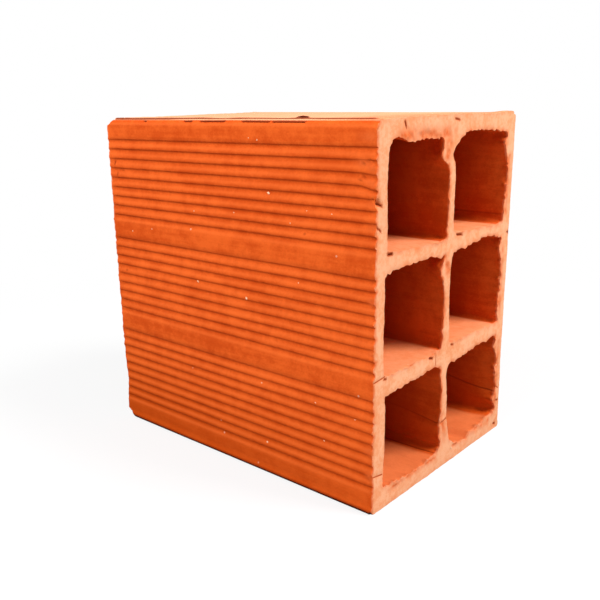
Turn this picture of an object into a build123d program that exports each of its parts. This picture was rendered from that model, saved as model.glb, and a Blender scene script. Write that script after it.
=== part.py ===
from build123d import *
import os

# Horizontally cored clay brick: one fired, extruded piece with six cells, grooved sides and wire-cut ends

# Overall size, in millimetres: the cells run along X, and the brick rests on its smooth lower face.
length = 190.0
width = 135.0
height = 190.0

# Walls of the extruded section
shell = 9.0
level_web = 9.0
upright_web = 7.0
cells_across = 2
cells_up = 3
cell_corner_radius = 3.0
long_edge_radius = 4.0

# Keying grooves for plaster on the two tall sides, parted by narrow lands: each has a steep flank that faces
# down, a flat floor and a long flank that faces up
groove_depth = 0.7
groove_steep_flank = 0.7
groove_floor = 1.1
groove_long_flank = 2.9
groove_land = 0.9

# The groups of grooves stand this much closer together than the rows of cells.
groove_group_inset = 1.3

# Cells fill what the shell and the webs leave of the section.
cell_width = (width - 2 * shell - (cells_across - 1) * upright_web) / cells_across
cell_height = (height - 2 * shell - (cells_up - 1) * level_web) / cells_up
cell_pitch_across = cell_width + upright_web
cell_pitch_up = cell_height + level_web

# A group of grooves lies beside each row of cells, and the shell is plain where a web joins it.
groove_mouth = groove_steep_flank + groove_floor + groove_long_flank
groove_pitch = groove_mouth + groove_land
grooves_per_group = int(cell_height // groove_pitch)
groove_group_pitch = cell_pitch_up - groove_group_inset

# Die tooth that forms a groove: the groove's section and its mirror image outside the face
with BuildSketch() as die_tooth:
    with BuildLine() as tooth_outline:
        Polyline(
            (0, -groove_mouth / 2),
            (groove_depth, groove_long_flank - groove_mouth / 2),
            (groove_depth, groove_mouth / 2 - groove_steep_flank),
            (0, groove_mouth / 2),
        )
        mirror(about=Plane.YZ)
    make_face()

# Brick: the section is drawn across the cells and extruded from one cut end to the other.
with BuildPart() as hollow_brick:
    with BuildSketch(Plane.YZ.offset(-length / 2)) as section:
        with Locations((0, height / 2)):
            RectangleRounded(width, height, long_edge_radius)
            with GridLocations(cell_pitch_across, cell_pitch_up, cells_across, cells_up):
                RectangleRounded(cell_width, cell_height, cell_corner_radius, mode=Mode.SUBTRACT)
            with GridLocations(width, groove_group_pitch, 2, cells_up):
                with GridLocations(0, groove_pitch, 1, grooves_per_group):
                    add(die_tooth.sketch, mode=Mode.SUBTRACT)
    extrude(amount=length)

hollow_brick.part.label = "hollow_brick"

os.makedirs("parts", exist_ok=True)
export_step(hollow_brick.part, "parts/hollow_brick.step")
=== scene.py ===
"""Dresses the hollow clay brick: grooved sides, torn wire-cut ends, chipped corners and lime grains.

Shapes are worked out in millimetres, as the brick is specified, and become metres when a mesh is made.
"""
from __future__ import annotations

import logging
import math
from collections.abc import Iterator
from dataclasses import dataclass, field
from enum import Enum
from itertools import product

import bpy
import numpy as np
from mathutils import Matrix, Vector
from mathutils.bvhtree import BVHTree
from mathutils.geometry import delaunay_2d_cdt

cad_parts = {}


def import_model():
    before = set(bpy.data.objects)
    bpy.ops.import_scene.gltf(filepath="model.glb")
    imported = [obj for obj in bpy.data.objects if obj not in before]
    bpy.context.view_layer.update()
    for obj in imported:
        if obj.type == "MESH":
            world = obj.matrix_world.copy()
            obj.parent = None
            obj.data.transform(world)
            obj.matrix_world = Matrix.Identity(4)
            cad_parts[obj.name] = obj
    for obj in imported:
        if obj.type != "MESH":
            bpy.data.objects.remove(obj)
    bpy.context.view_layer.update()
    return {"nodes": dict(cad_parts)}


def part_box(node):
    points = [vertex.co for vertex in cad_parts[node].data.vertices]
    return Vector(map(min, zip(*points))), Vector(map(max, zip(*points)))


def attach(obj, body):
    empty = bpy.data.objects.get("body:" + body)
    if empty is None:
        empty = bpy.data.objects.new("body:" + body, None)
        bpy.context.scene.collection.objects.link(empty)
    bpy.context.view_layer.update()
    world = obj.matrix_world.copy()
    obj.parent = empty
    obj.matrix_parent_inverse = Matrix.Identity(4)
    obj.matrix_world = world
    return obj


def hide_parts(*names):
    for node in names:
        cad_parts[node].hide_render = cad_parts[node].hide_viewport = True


Array = np.ndarray
Triple = tuple[float, float, float]
Pair = tuple[float, float]

LOG = logging.getLogger("brick")
MM = 0.001
BODY = "root"
NODE = "hollow_brick"

# Part of a direction that counts as square on a side
SQUARE_ON = 0.99

# Distance at which two points of an end face count as one
SAME_POINT = 1e-6


class End(Enum):
    """The two wire-cut ends, by the way they face along the cells."""

    FRONT = 1
    REAR = -1

    @property
    def row(self) -> int:
        """Place of this end's ring among a skin's stations."""
        return -1 if self is End.FRONT else 0


class Mark(Enum):
    """What was done to the clay at a point, and where shade and light are painted, as the finish reads it."""

    CUT = "cut"
    TORN = "torn"
    CHIP = "chip"
    # Painted shade deep in the cells, lifted near the mouths
    CELL = "cell"
    # Painted shade under groove rims, in seams, slits and creases, on the ledge's wall and along the near foot
    CREVICE = "crevice"
    # Painted highlight on the grooves' long flanks and on the near upper edge
    CREST = "crest"
    # Level clay, which takes dust and painted light from above
    BED = "bed"
    INSIDE = "inside"


class CellSide(Enum):
    """Sides of a cell: the axis that each faces, 0 across and 1 up, and whether it is the high one."""

    NEAR = (0, False)
    FAR = (0, True)
    FLOOR = (1, False)
    ROOF = (1, True)


class Ripple(Enum):
    """Kinds of unevenness in the clay: strength, wave and own layer of the noise."""

    BURR_FINE = (1.2, 1.7, 1)
    BURR_COARSE = (0.8, 4.5, 2)
    SMEAR = (0.5, (3.0, 1.5, 1.5), 3)
    SHELL_DRAG = (0.05, (70.0, 2.2, 2.2), 4)
    SHELL_DENTS = (0.05, (16.0, 7.0, 7.0), 5)
    GROOVE_WANDER = (0.12, (38.0, 60.0, 14.0), 6)
    LEDGE_DEPTH = (0.1, 9.0, 7)
    CELL_DRAG = (0.07, (90.0, 2.4, 2.4), 8)
    CELL_BOW = (0.4, (120.0, 26.0, 26.0), 9)
    RIM_PATCHES = (0.8, 4.0, 10)
    STRIP_PATCHES = (0.7, 3.2, 11)
    CUT_WAVES = (0.16, 11.0, 12)
    CUT_GRAIN = (0.05, 2.6, 13)
    TORN_CRUMBS = (0.7, 1.9, 14)
    LEDGE_WALL = (0.3, 12.0, 15)
    CRUMBS = (0.5, 1.6, 16)
    BARE_PATCHES = (0.8, 3.0, 17)
    CROWN = (0.2, 14.0, 18)


def smooth(share: Array) -> Array:
    """Rises from 0 to 1 with level ends as a share goes from 0 to 1."""
    held = np.clip(share, 0.0, 1.0)
    return held * held * (3.0 - 2.0 * held)


def bell(gap: Array, reach: float | Array) -> Array:
    """Falls from 1 to 0 on both sides as a distance goes past a reach."""
    return np.exp(-((gap / reach) ** 2))


def line_gap(spots: Array, start: Pair, stop: Pair) -> Array:
    """Distance of some spots from a straight line between two places."""
    first = np.array(start)
    run = np.array(stop) - first
    share = np.clip((spots - first) @ run / (run @ run), 0.0, 1.0)
    return np.linalg.norm(spots - first - share[..., None] * run, axis=-1)


@dataclass(frozen=True)
class BrickSizes:
    """Sizes of the extruded section and of the length that was cut, in millimetres."""

    length: float
    width: float
    height: float
    shell: float = 9.0
    level_web: float = 9.0
    upright_web: float = 7.0
    columns: int = 2
    rows: int = 3
    cell_corner: float = 3.0
    long_edge: float = 4.0
    groove_depth: float = 0.7
    groove_steep_flank: float = 0.7
    groove_floor: float = 1.1
    groove_long_flank: float = 2.9
    groove_land: float = 0.9
    groove_group_inset: float = 1.3

    @classmethod
    def from_frame(cls, node: str) -> BrickSizes:
        """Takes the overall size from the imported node."""
        low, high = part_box(node)
        return cls(*((top - bottom) / MM for bottom, top in zip(low, high)))

    @property
    def cell(self) -> Pair:
        """Width and height of one cell."""
        across = (self.width - 2 * self.shell - (self.columns - 1) * self.upright_web) / self.columns
        up = (self.height - 2 * self.shell - (self.rows - 1) * self.level_web) / self.rows
        return across, up

    @property
    def cells(self) -> list[tuple[int, int]]:
        """Column and row of every cell, from the lower near one."""
        return list(product(range(self.columns), range(self.rows)))

    def cell_low(self, column: int, row: int) -> Array:
        """Lower near corner of a cell across the section."""
        across, up = self.cell
        near = -self.width / 2 + self.shell + column * (across + self.upright_web)
        return np.array([near, self.shell + row * (up + self.level_web)])

    @property
    def groove_mouth(self) -> float:
        """Height of one groove from its upper rim to its lower one."""
        return self.groove_steep_flank + self.groove_floor + self.groove_long_flank

    def groove_rims(self) -> Array:
        """Heights of the grooves' upper rims, in one group beside each row of cells."""
        up = self.cell[1]
        pitch = self.groove_mouth + self.groove_land
        count = int(up // pitch)
        group = (np.arange(count) - (count - 1) / 2) * pitch
        rows = np.arange(self.rows) - (self.rows - 1) / 2
        middles = self.height / 2 + rows * (up + self.level_web - self.groove_group_inset)
        return np.add.outer(middles, group).ravel() + self.groove_mouth / 2

    def groove_depth_at(self, below: Array) -> Array:
        """Depth of a groove at a distance below its upper rim: a steep flank, a floor and a long flank."""
        steep = smooth(below / self.groove_steep_flank)
        long = smooth((below - self.groove_steep_flank - self.groove_floor) / self.groove_long_flank)
        return self.groove_depth * steep * (1.0 - long)


class ClayNoise:
    """Smooth seeded noise between -1 and 1, for what hand, wire and fire leave uneven."""

    SIDE = 32
    LAYER_STEP = np.array([5.3, 9.7, 13.1])

    def __init__(self, seed: int) -> None:
        """Fills the lattice of random values from a seed."""
        self.lattice = np.random.default_rng(seed).uniform(-1.0, 1.0, (self.SIDE,) * 3)

    def at(self, places: Array, wave: float | Triple, layer: int = 0) -> Array:
        """Reads the noise at some places.

        Args:
            places: Points, with x, y and z on the last axis.
            wave: Distance between neighbouring hills, the same or one for each axis.
            layer: Number of an independent layer of the noise.

        Returns:
            One value for each point.
        """
        scaled = places / np.asarray(wave) + layer * self.LAYER_STEP
        low = np.floor(scaled).astype(int)
        part = scaled - low
        ease = smooth(part)
        total = np.zeros(places.shape[:-1])
        for corner in product((0, 1), repeat=3):
            share = np.where(corner, ease, 1.0 - ease).prod(axis=-1)
            i, j, k = np.moveaxis((low + corner) % self.SIDE, -1, 0)
            total += share * self.lattice[i, j, k]
        return total

    def ripple(self, places: Array, kind: Ripple) -> Array:
        """Reads one kind of unevenness at some places."""
        strength, wave, layer = kind.value
        return strength * self.at(places, wave, layer)


@dataclass(frozen=True)
class MouthMark:
    """A push that the wire or the die gave to the mouth of a cell.

    Attributes:
        cell: Column and row of the cell.
        at: Place across and up from the cell's lower near corner.
        push: How far the clay's edge moved, across and up.
        spread: Distance over which the push fades along the mouth.
        depth: Distance over which it fades into the cell.
    """

    cell: tuple[int, int]
    at: Pair
    push: Pair
    spread: float
    depth: float = 5.0

    def share(self, spots: Array, depth: Array) -> Array:
        """How far the push reaches some spots of the outline at some distances from the cut."""
        gap = np.linalg.norm(spots - np.array(self.at), axis=-1)
        return bell(gap, self.spread) * bell(depth, self.depth)


@dataclass(frozen=True)
class MouthShape:
    """How one mouth of the front end departs from the clean outline of its cell.

    Each side is a list of places along it, from the cell's lower near corner, with the clay's offsets there:
    upwards on the floor and the roof, towards the far side on the two walls.

    Attributes:
        cell: Column and row of the cell.
        floor: Offsets of the floor.
        far: Offsets of the far wall.
        roof: Offsets of the roof.
        near: Offsets of the near wall.
    """

    cell: tuple[int, int]
    floor: tuple[Pair, ...]
    far: tuple[Pair, ...]
    roof: tuple[Pair, ...]
    near: tuple[Pair, ...]

    HOLD = 4
    EASE = (-1.2, -0.6, 0.0, 0.6, 1.2)

    def offsets(self, spots: Array, size: Pair) -> tuple[Array, Array]:
        """Works out the offsets of an outline's points.

        Args:
            spots: The points, from the cell's lower near corner.
            size: Width and height of the cell.

        Returns:
            Rows of offsets across and up that belong to the walls and the roof, and those of the floor.
        """
        across, up = spots.T
        share = np.clip(spots / np.array(size), 0.0, 1.0)
        to_far, to_roof = (share ** self.HOLD).T
        to_near, to_floor = ((1.0 - share) ** self.HOLD).T
        shift = self._eased(up, self.near) * to_near + self._eased(up, self.far) * to_far
        rise = self._eased(across, self.roof) * to_roof
        floor = self._eased(across, self.floor) * to_floor
        return np.column_stack([shift, rise]), np.column_stack([np.zeros_like(floor), floor])

    def _eased(self, along: Array, side: tuple[Pair, ...]) -> Array:
        """Reads one side's offsets with its corners rounded off."""
        return np.mean([np.interp(along + step, *zip(*side)) for step in self.EASE], axis=0)


@dataclass(frozen=True)
class Smear:
    """Clay that the wire dragged over the grooves beside the front cut.

    Attributes:
        inset: Distance from the cut.
        height: Height above the lower face.
        along: Reach along the brick.
        up: Reach upwards.
        fill: Share of the grooves' depth that it fills.
        drop: How far it pulled the grooves down.
    """

    inset: float
    height: float
    along: float
    up: float
    fill: float = 0.8
    drop: float = 0.0

    def share(self, inset: Array, height: Array) -> Array:
        """How far some spots lie in the smear, from 0 to 1."""
        return bell(inset - self.inset, self.along) * bell(height - self.height, self.up)


@dataclass(frozen=True)
class TornStrip:
    """A strip of an end face that the wire tore open.

    Attributes:
        start: First end, as distance from the near side and height.
        stop: Other end, likewise.
        reach: Distance over which the tearing fades beside the strip.
    """

    start: Pair
    stop: Pair
    reach: float

    def share(self, spots: Array) -> Array:
        """How far some spots lie in the strip, from 0 to 1."""
        return bell(line_gap(spots, self.start, self.stop), self.reach)


@dataclass(frozen=True)
class Slit:
    """A crack or a slit-like pit.

    Attributes:
        start: First end: distance from the near side, or from the front cut, and height.
        stop: Other end, likewise.
        width: Half its width.
    """

    start: Pair
    stop: Pair
    width: float = 0.32

    DEEP = 1.4
    GUIDE_STEP = 0.6
    FEWEST_GUIDES = 3
    BESIDE = (-1.7, -0.8, 0.0, 0.8, 1.7)

    def sink(self, spots: Array) -> Array:
        """How far the slit sinks some spots."""
        return self.DEEP * self.width * bell(line_gap(spots, self.start, self.stop), self.width)

    def guides(self) -> Array:
        """Spots along the slit and beside it, where a mesh needs points."""
        run = np.array(self.stop) - np.array(self.start)
        length = np.linalg.norm(run)
        count = max(self.FEWEST_GUIDES, int(length / self.GUIDE_STEP))
        line = np.linspace(self.start, self.stop, count)
        normal = np.array([-run[1], run[0]]) / length
        return np.concatenate([line + normal * self.width * step for step in self.BESIDE])


@dataclass(frozen=True)
class Crease:
    """A line that the die dragged along a cell.

    Attributes:
        cell: Column and row of the cell.
        at: Place across and up from the cell's lower near corner.
        lift: How far it stands out of the wall, below zero where it is sunk.
        width: Half its width.
        reach: Distance from the front cut over which it fades.
        climb: How far it rises for each unit of length inwards.
    """

    cell: tuple[int, int]
    at: Pair
    lift: float
    width: float
    reach: float
    climb: float = 0.0

    # Painted shade for each unit by which the line is sunk
    SHADE = 4.0
    PULL = 9.0
    BESIDE = (-1.6, -0.8, 0.0, 0.8, 1.6)


@dataclass(frozen=True)
class Bite:
    """A chip knocked out of a corner, an edge or a face.

    Attributes:
        at: Place on the whole brick's corner, edge or face.
        facing: Way that the broken face looks.
        depth: Depth of clay lost at the middle.
        reach: Distance over which the chip runs out.
    """

    at: Triple
    facing: Triple
    depth: float
    reach: float

    FADED = 0.04
    ROUGH = 0.4
    ROUGH_WAVE = 0.4
    FRESH = 0.35

    def take(self, places: Array, noise: ClayNoise) -> tuple[Array, Array]:
        """Knocks the chip out.

        Args:
            places: Points of the clay's surface.
            noise: Noise that roughens the broken face.

        Returns:
            The points after the chip went, and how fresh the clay is there from 0 to 1.
        """
        facing = np.array(self.facing) / np.linalg.norm(self.facing)
        gap = places - np.array(self.at)
        proud = gap @ facing
        beside = np.linalg.norm(gap - proud[..., None] * facing, axis=-1)
        fade = bell(beside, self.reach)
        rough = 1.0 + self.ROUGH * noise.at(places, self.reach * self.ROUGH_WAVE)
        lost = np.where(fade > self.FADED, np.clip(proud + self.depth * fade * rough, 0.0, None), 0.0)
        return places - lost[..., None] * facing, np.clip(lost / self.FRESH, 0.0, 1.0)


@dataclass(frozen=True)
class Outline:
    """A closed outline across the section, counter-clockwise as the front end is seen.

    Attributes:
        places: Points across the section, as rows of y and z.
        away: Directions that lead out of the clay.
        groove: Depth of the groove that each point lies in.
        dark: How far the painted shade under the upper rim of a groove reaches each point.
        crest: How far the painted highlight on the long flank of a groove reaches each point.
    """

    places: Array
    away: Array
    groove: Array
    dark: Array
    crest: Array

    BED_FROM = 0.6
    BED_RANGE = 0.35

    @property
    def climb(self) -> Array:
        """Angle of the way out above level, in degrees, as the near side sees it."""
        return np.degrees(np.arctan2(self.away[:, 1], -self.away[:, 0]))

    @property
    def bed(self) -> Array:
        """How level each point lies, from 0 on a wall to 1 where dust and painted light from above lie."""
        return smooth((self.away[:, 1] - self.BED_FROM) / self.BED_RANGE)


@dataclass
class Skin:
    """A tube of clay surface that runs from the rear end to the front end.

    Attributes:
        places: Points by station and by place on the outline.
        away: Directions out of the clay at the outline's points.
        marks: What was done to the clay at each point, and the painted shade and light there.
        outward: Whether the surface faces out of the brick rather than into a cell.
    """

    places: Array
    away: Array
    marks: dict[Mark, Array]
    outward: bool

    def faces(self, first: int) -> Array:
        """Four-sided faces over the tube, counting its points from a first number."""
        numbers = first + np.arange(self.places[..., 0].size).reshape(self.places.shape[:2])
        here = numbers[:-1]
        beside = numbers[1:]
        corners = [here, np.roll(here, -1, axis=1), np.roll(beside, -1, axis=1), beside]
        rows = np.stack(corners, axis=-1).reshape(-1, 4)
        return rows if self.outward else rows[:, ::-1]


def filled(values: Array | list[float], widest: float) -> Array:
    """Adds even steps wherever two neighbouring values lie further apart than the widest step.

    Args:
        values: Values to keep.
        widest: Widest step that may be left.

    Returns:
        All values, rising.
    """
    rising = np.unique(np.round(values, 6))
    steps = [
        np.linspace(low, high, max(1, math.ceil((high - low) / widest)), endpoint=False)
        for low, high in zip(rising, rising[1:])
    ]
    return np.append(np.concatenate(steps), rising[-1])


def rounded_outline(low: Array, high: Array, radius: float, level: Array, uprights: tuple[Array, Array],
                    arc_steps: tuple[int, ...]) -> tuple[Array, Array]:
    """Walks round a rectangle with round corners, counter-clockwise from its lower side.

    Args:
        low: Lowest y and z.
        high: Highest y and z.
        radius: Radius of the corners.
        level: Places of the points between the corners on the lower and upper sides.
        uprights: Heights of the points between the corners on the far side and on the near side.
        arc_steps: Steps in each corner, from the lower far one on.

    Returns:
        The points, and the directions that lead out of the rectangle there.
    """
    inner_low = low + radius
    inner_high = high - radius
    far, near = uprights
    sides = (
        (level, np.full_like(level, low[1]), (0.0, -1.0), (inner_high[0], inner_low[1])),
        (np.full_like(far, high[0]), far, (1.0, 0.0), (inner_high[0], inner_high[1])),
        (level[::-1], np.full_like(level, high[1]), (0.0, 1.0), (inner_low[0], inner_high[1])),
        (np.full_like(near, low[0]), near[::-1], (-1.0, 0.0), (inner_low[0], inner_low[1])),
    )
    places = []
    outward = []
    for quarter, (across, up, normal, centre) in enumerate(sides):
        turn = np.radians(90.0) * (quarter - 1 + np.linspace(0.0, 1.0, arc_steps[quarter] + 1))
        arc = np.column_stack([np.cos(turn), np.sin(turn)])
        places += [np.column_stack([across, up]), centre + radius * arc]
        outward += [np.tile(normal, (len(across), 1)), arc]
    return np.concatenate(places), np.concatenate(outward)


def within(points: Array, loops: list[Array]) -> Array:
    """Tells which points lie in the clay between closed loops, by counting crossings.

    Args:
        points: Rows of y and z.
        loops: Closed loops of such points.

    Returns:
        True for each point in the clay.
    """
    crossed = np.zeros(len(points), dtype=int)
    across, up = points[:, :1], points[:, 1:]
    for loop in loops:
        after = np.roll(loop, -1, axis=0)
        rise = after[:, 1] - loop[:, 1]
        level = np.where(rise == 0.0, np.inf, rise)
        meets = loop[:, 0] + (up - loop[:, 1]) * (after[:, 0] - loop[:, 0]) / level
        passes = (loop[:, 1] > up) != (after[:, 1] > up)
        crossed += (passes & (across < meets)).sum(axis=1)
    return crossed % 2 == 1


def nearest(points: Array, others: Array) -> tuple[Array, Array]:
    """Finds the nearest of some other points.

    Args:
        points: Rows of y and z.
        others: Rows to search.

    Returns:
        The distance to the nearest one, and its number.
    """
    gaps = np.linalg.norm(points[:, None, :] - others[None, :, :], axis=-1)
    number = gaps.argmin(axis=1)
    return gaps[np.arange(len(points)), number], number


# Outlines that the wire and the die gave to the mouths of the front end
FRONT_MOUTHS = (
    # Upper near cell: a burr hangs from its roof, and the web is bent over at its head
    MouthShape(
        (0, 2),
        floor=((0, 0.8), (5, 0.8), (10, -0.4), (27, -1.2), (43, -1.9), (55, -1.9)),
        far=((0, 0.5), (6, 0.2), (12, 0.5), (20, 0.1), (28, 0.6), (32, 0.6), (35.5, -0.2), (37.8, -4.0),
             (41, -7.7), (44.5, -6.9), (48, -6.7), (51.3, -6.5)),
        roof=((0, 0.5), (10, 0.7), (13, 0.2), (15.5, -1.3), (30, -1.2), (48, -1.5), (55, -1.5)),
        near=((0, 0.0), (10, 0.1), (30, -0.7), (36, -0.6), (36.6, -1.2), (37.2, -0.5), (51.3, -0.2)),
    ),
    # Upper far cell: a wide round corner and a worn far wall
    MouthShape(
        (1, 2),
        floor=((0, 0.8), (8, 0.5), (20, -0.8), (40, -1.6), (55, -1.7)),
        far=((0, 0.7), (7, 1.0), (15.3, 2.7), (26, 4.0), (32, 3.2), (37.8, 0.7), (42.3, -1.4), (45.3, -2.2),
             (47.8, 1.0), (51.3, -0.5)),
        roof=((0, -1.0), (6, -0.2), (11.5, 0.7), (30, -0.2), (40, -0.6), (48, -1.4), (55, -1.8)),
        near=((0, -1.3), (10, -1.4), (30, -1.3), (36, -1.6), (40.3, -4.3), (42, -4.7), (46, -2.8), (49, 0.0),
              (51.3, 1.6)),
    ),
    # Middle cells: arched roofs and a web that is torn at its head
    MouthShape(
        (0, 1),
        floor=((0, 0.6), (30, 0.2), (43, -0.6), (55, 0.7)),
        far=((0, -1.5), (3, -0.6), (10, -0.6), (20, -0.4), (29.7, 0.2), (35.7, -0.7), (39, -2.3), (42.4, -4.8),
             (45.3, -5.2), (47.4, -3.2), (50.3, -0.3), (51.3, -0.3)),
        roof=((0, -0.7), (8, 0.8), (25, 0.8), (33, 1.8), (41, 1.0), (47.5, -0.3), (55, -1.0)),
        near=((0, -0.6), (10, -0.9), (46, -1.3), (51.3, -1.7)),
    ),
    MouthShape(
        (1, 1),
        floor=((0, 1.5), (30, 0.3), (55, -0.6)),
        far=((0, 1.0), (8, 0.7), (18, 1.2), (25, 2.3), (33, 2.3), (40, 0.3), (45, -1.8), (47.4, -1.0),
             (50, 1.0), (51.3, 1.0)),
        roof=((0, -0.5), (3, -0.3), (16, 0.8), (24, 2.0), (42, 2.2), (45, 1.0), (55, -1.0)),
        near=((0, -0.9), (10, -1.2), (20, -2.0), (30, -2.6), (44, -2.4), (49, -1.2), (51.3, -0.6)),
    ),
    # Lower cells: filled feet, a notched floor and a flake on the far wall
    MouthShape(
        (0, 0),
        floor=((0, 2.2), (4, 1.6), (10, 1.1), (26, -0.7), (39, -0.7), (46, 0.2), (51, 0.9), (55, 1.2)),
        far=((0, 1.0), (4.3, 1.8), (9, 0.6), (13.5, -0.7), (20, 0.6), (26, 0.6), (34, 1.4), (40, 0.2),
             (46, -1.9), (50, -0.7), (51.3, -0.7)),
        roof=((0, -1.1), (15, 0.5), (33, -0.3), (40, 1.2), (49.5, 1.2), (55, -0.9)),
        near=((0, 0.3), (5, 0.2), (13.5, 0.6), (25, 1.4), (44, 1.4), (51.3, 0.5)),
    ),
    MouthShape(
        (1, 0),
        floor=((0, 3.0), (5, 1.6), (14, -1.5), (23, -3.2), (26, -2.0), (28, -0.7), (38, -0.3), (47, 1.0),
               (52, 1.8), (55, 1.0)),
        far=((0, 4.4), (2, 4.6), (6, 4.0), (9, 0.7), (12.7, 2.3), (18.5, 4.4), (23.5, 3.2), (28, 2.3),
             (36, 3.2), (42, 2.3), (44.3, -1.4), (47, -0.6), (50, 0.7), (51.3, 0.7)),
        roof=((0, -0.9), (9, -0.7), (25, 0.1), (37, 1.4), (43.5, 0.5), (50, 1.4), (55, -0.2)),
        near=((0, 2.9), (3.5, 3.4), (10, 1.7), (17.7, 0.1), (30, -0.4), (37.7, -1.3), (44, -2.4), (47, -2.0),
              (51.3, -1.0)),
    ),
)

# Jags along the floors of the lower mouths: column, place across the cell and how far each rises
SILL_JAGS = (
    (0, 4.0, 0.8), (0, 6.5, -0.5), (0, 9.0, 0.8), (0, 13.0, 0.7), (0, 16.0, -0.5), (0, 19.0, 0.6),
    (0, 23.5, 0.7), (0, 27.0, -0.5), (0, 31.0, 0.7), (0, 36.0, 0.6), (0, 40.0, -0.4),
    (0, 43.0, 1.0), (0, 47.0, 0.7),
    (1, 4.0, 0.6), (1, 8.0, -0.5), (1, 12.0, 0.7), (1, 24.0, -0.8), (1, 28.5, 0.8), (1, 33.0, -0.4),
    (1, 37.0, 0.9), (1, 42.0, -0.5), (1, 46.0, 0.8),
)

# Corners of the front mouths that are rounder or sharper than the die made them, and the jags
FRONT_MARKS = (
    MouthMark((0, 2), (0.0, 51.3), (1.0, -1.0), 5.0, 8.0),
    MouthMark((0, 2), (55.0, 0.0), (0.8, -0.8), 2.2),
    MouthMark((1, 2), (0.0, 51.3), (1.6, -1.6), 6.0, 12.0),
    MouthMark((1, 2), (55.0, 0.0), (0.8, -0.8), 2.2),
    MouthMark((0, 0), (0.0, 0.0), (-0.9, -0.9), 2.2),
    MouthMark((0, 1), (0.0, 51.3), (-0.8, 0.8), 2.2),
    MouthMark((0, 1), (55.0, 51.3), (0.8, 0.8), 2.2),
    MouthMark((0, 1), (55.0, 0.0), (1.2, -1.2), 3.0),
    MouthMark((1, 1), (0.0, 51.3), (-0.9, 0.9), 2.6),
    MouthMark((1, 1), (55.0, 0.0), (1.2, -1.2), 3.0),
    MouthMark((1, 1), (55.0, 51.3), (0.8, 0.8), 2.2),
    MouthMark((0, 0), (0.0, 51.3), (-0.8, 0.8), 2.2),
    MouthMark((0, 0), (55.0, 51.3), (0.6, 0.6), 2.2),
    MouthMark((1, 0), (55.0, 51.3), (0.8, 0.8), 2.2),
) + tuple(
    MouthMark((column, 0), (across, 0.0), (0.0, rise), 1.0, 1.5) for column, across, rise in SILL_JAGS
)

# Lines along the cells: a ridge and cracks in the lower ones, and the upper rim of a fillet
CREASES = (
    Crease((0, 0), (51.2, 0.0), -0.22, 0.45, 300.0),
    Crease((0, 0), (55.0, 4.4), 0.5, 0.8, 300.0),
    Crease((0, 0), (55.0, 17.2), -0.14, 0.45, 26.0, 0.16),
    Crease((1, 0), (55.0, 15.4), -0.22, 0.45, 40.0, 0.168),
    Crease((1, 2), (55.0, 4.2), -0.12, 0.5, 300.0),
)

# Clay dragged over the near grooves beside the front cut
SMEARS = (
    Smear(3.5, 183.0, 5.5, 2.6),
    Smear(7.0, 171.6, 4.0, 1.8, 1.0),
    Smear(0.0, 162.5, 6.0, 5.0, 0.0, 1.9),
    Smear(2.6, 169.6, 2.6, 1.4),
    Smear(2.6, 164.0, 3.0, 1.5),
    Smear(1.0, 153.5, 3.0, 1.6),
    Smear(1.0, 143.0, 2.5, 1.4),
    Smear(1.0, 109.0, 3.0, 2.0),
    Smear(1.0, 84.0, 2.0, 1.4),
    Smear(1.0, 34.0, 3.5, 2.8),
    Smear(1.0, 21.0, 3.0, 2.4),
)

# Cracks by the smears of the near side, and nicks by its rear end: distance from the front cut and height
SIDE_SLITS = (
    Slit((7.8, 170.4), (5.6, 172.2), 0.4),
    Slit((5.6, 172.2), (3.4, 173.0), 0.4),
    Slit((3.4, 173.0), (0.7, 172.0), 0.4),
    Slit((9.0, 163.8), (6.7, 165.7), 0.4),
    Slit((185.9, 165.2), (186.3, 163.8), 0.6),
    Slit((178.3, 160.7), (179.5, 160.7), 0.6),
    Slit((184.1, 158.6), (184.3, 157.3), 0.5),
)

# Torn strips of the front end face: the burr over the upper near cell, then the webs and the far wall
FRONT_STRIPS = (
    TornStrip((20.0, 182.0), (66.0, 181.4), 3.0),
    TornStrip((62.0, 176.0), (61.0, 170.0), 3.4),
    TornStrip((64.0, 118.0), (67.0, 112.0), 3.0),
    TornStrip((66.0, 30.0), (69.0, 16.0), 2.6),
    TornStrip((129.5, 12.0), (130.5, 56.0), 2.2),
    TornStrip((129.5, 72.0), (129.0, 116.0), 1.4),
    TornStrip((129.5, 134.0), (130.5, 165.0), 1.5),
    TornStrip((14.0, 8.2), (60.0, 8.0), 1.2),
    TornStrip((78.0, 8.0), (122.0, 8.4), 1.6),
    TornStrip((24.0, 69.6), (60.0, 69.0), 0.8),
    TornStrip((30.0, 129.6), (58.0, 129.2), 0.8),
)

# Cracks and slits of the front end face, as distance from the near side and height
FRONT_SLITS = (
    Slit((0.0, 69.6), (9.5, 70.4)),
    Slit((0.0, 20.8), (8.6, 19.2)),
    Slit((64.8, 26.4), (68.0, 27.2), 0.4),
    Slit((68.0, 27.2), (71.4, 27.8), 0.4),
    Slit((128.0, 29.5), (133.0, 26.0)),
    Slit((56.9, 68.0), (57.0, 62.8), 0.25),
    Slit((21.5, 188.4), (22.6, 186.2), 0.55),
    Slit((68.0, 187.7), (71.0, 187.2), 0.5),
    Slit((10.2, 129.6), (13.4, 129.4), 0.7),
    Slit((74.0, 129.2), (79.0, 128.6), 0.6),
    Slit((133.4, 121.9), (134.6, 121.5), 0.6),
    Slit((1.2, 153.6), (3.6, 152.8), 0.6),
    Slit((0.9, 143.2), (1.7, 142.4), 0.5),
    Slit((2.6, 142.2), (3.6, 141.2), 0.5),
    Slit((8.9, 69.2), (10.4, 68.8), 0.5),
    Slit((50.6, 68.0), (53.6, 67.2), 0.6),
    Slit((73.0, 69.6), (74.6, 69.2), 0.5),
    Slit((131.4, 18.6), (133.2, 18.0), 0.5),
    Slit((130.0, 3.6), (131.5, 3.2), 0.6),
)

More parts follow.
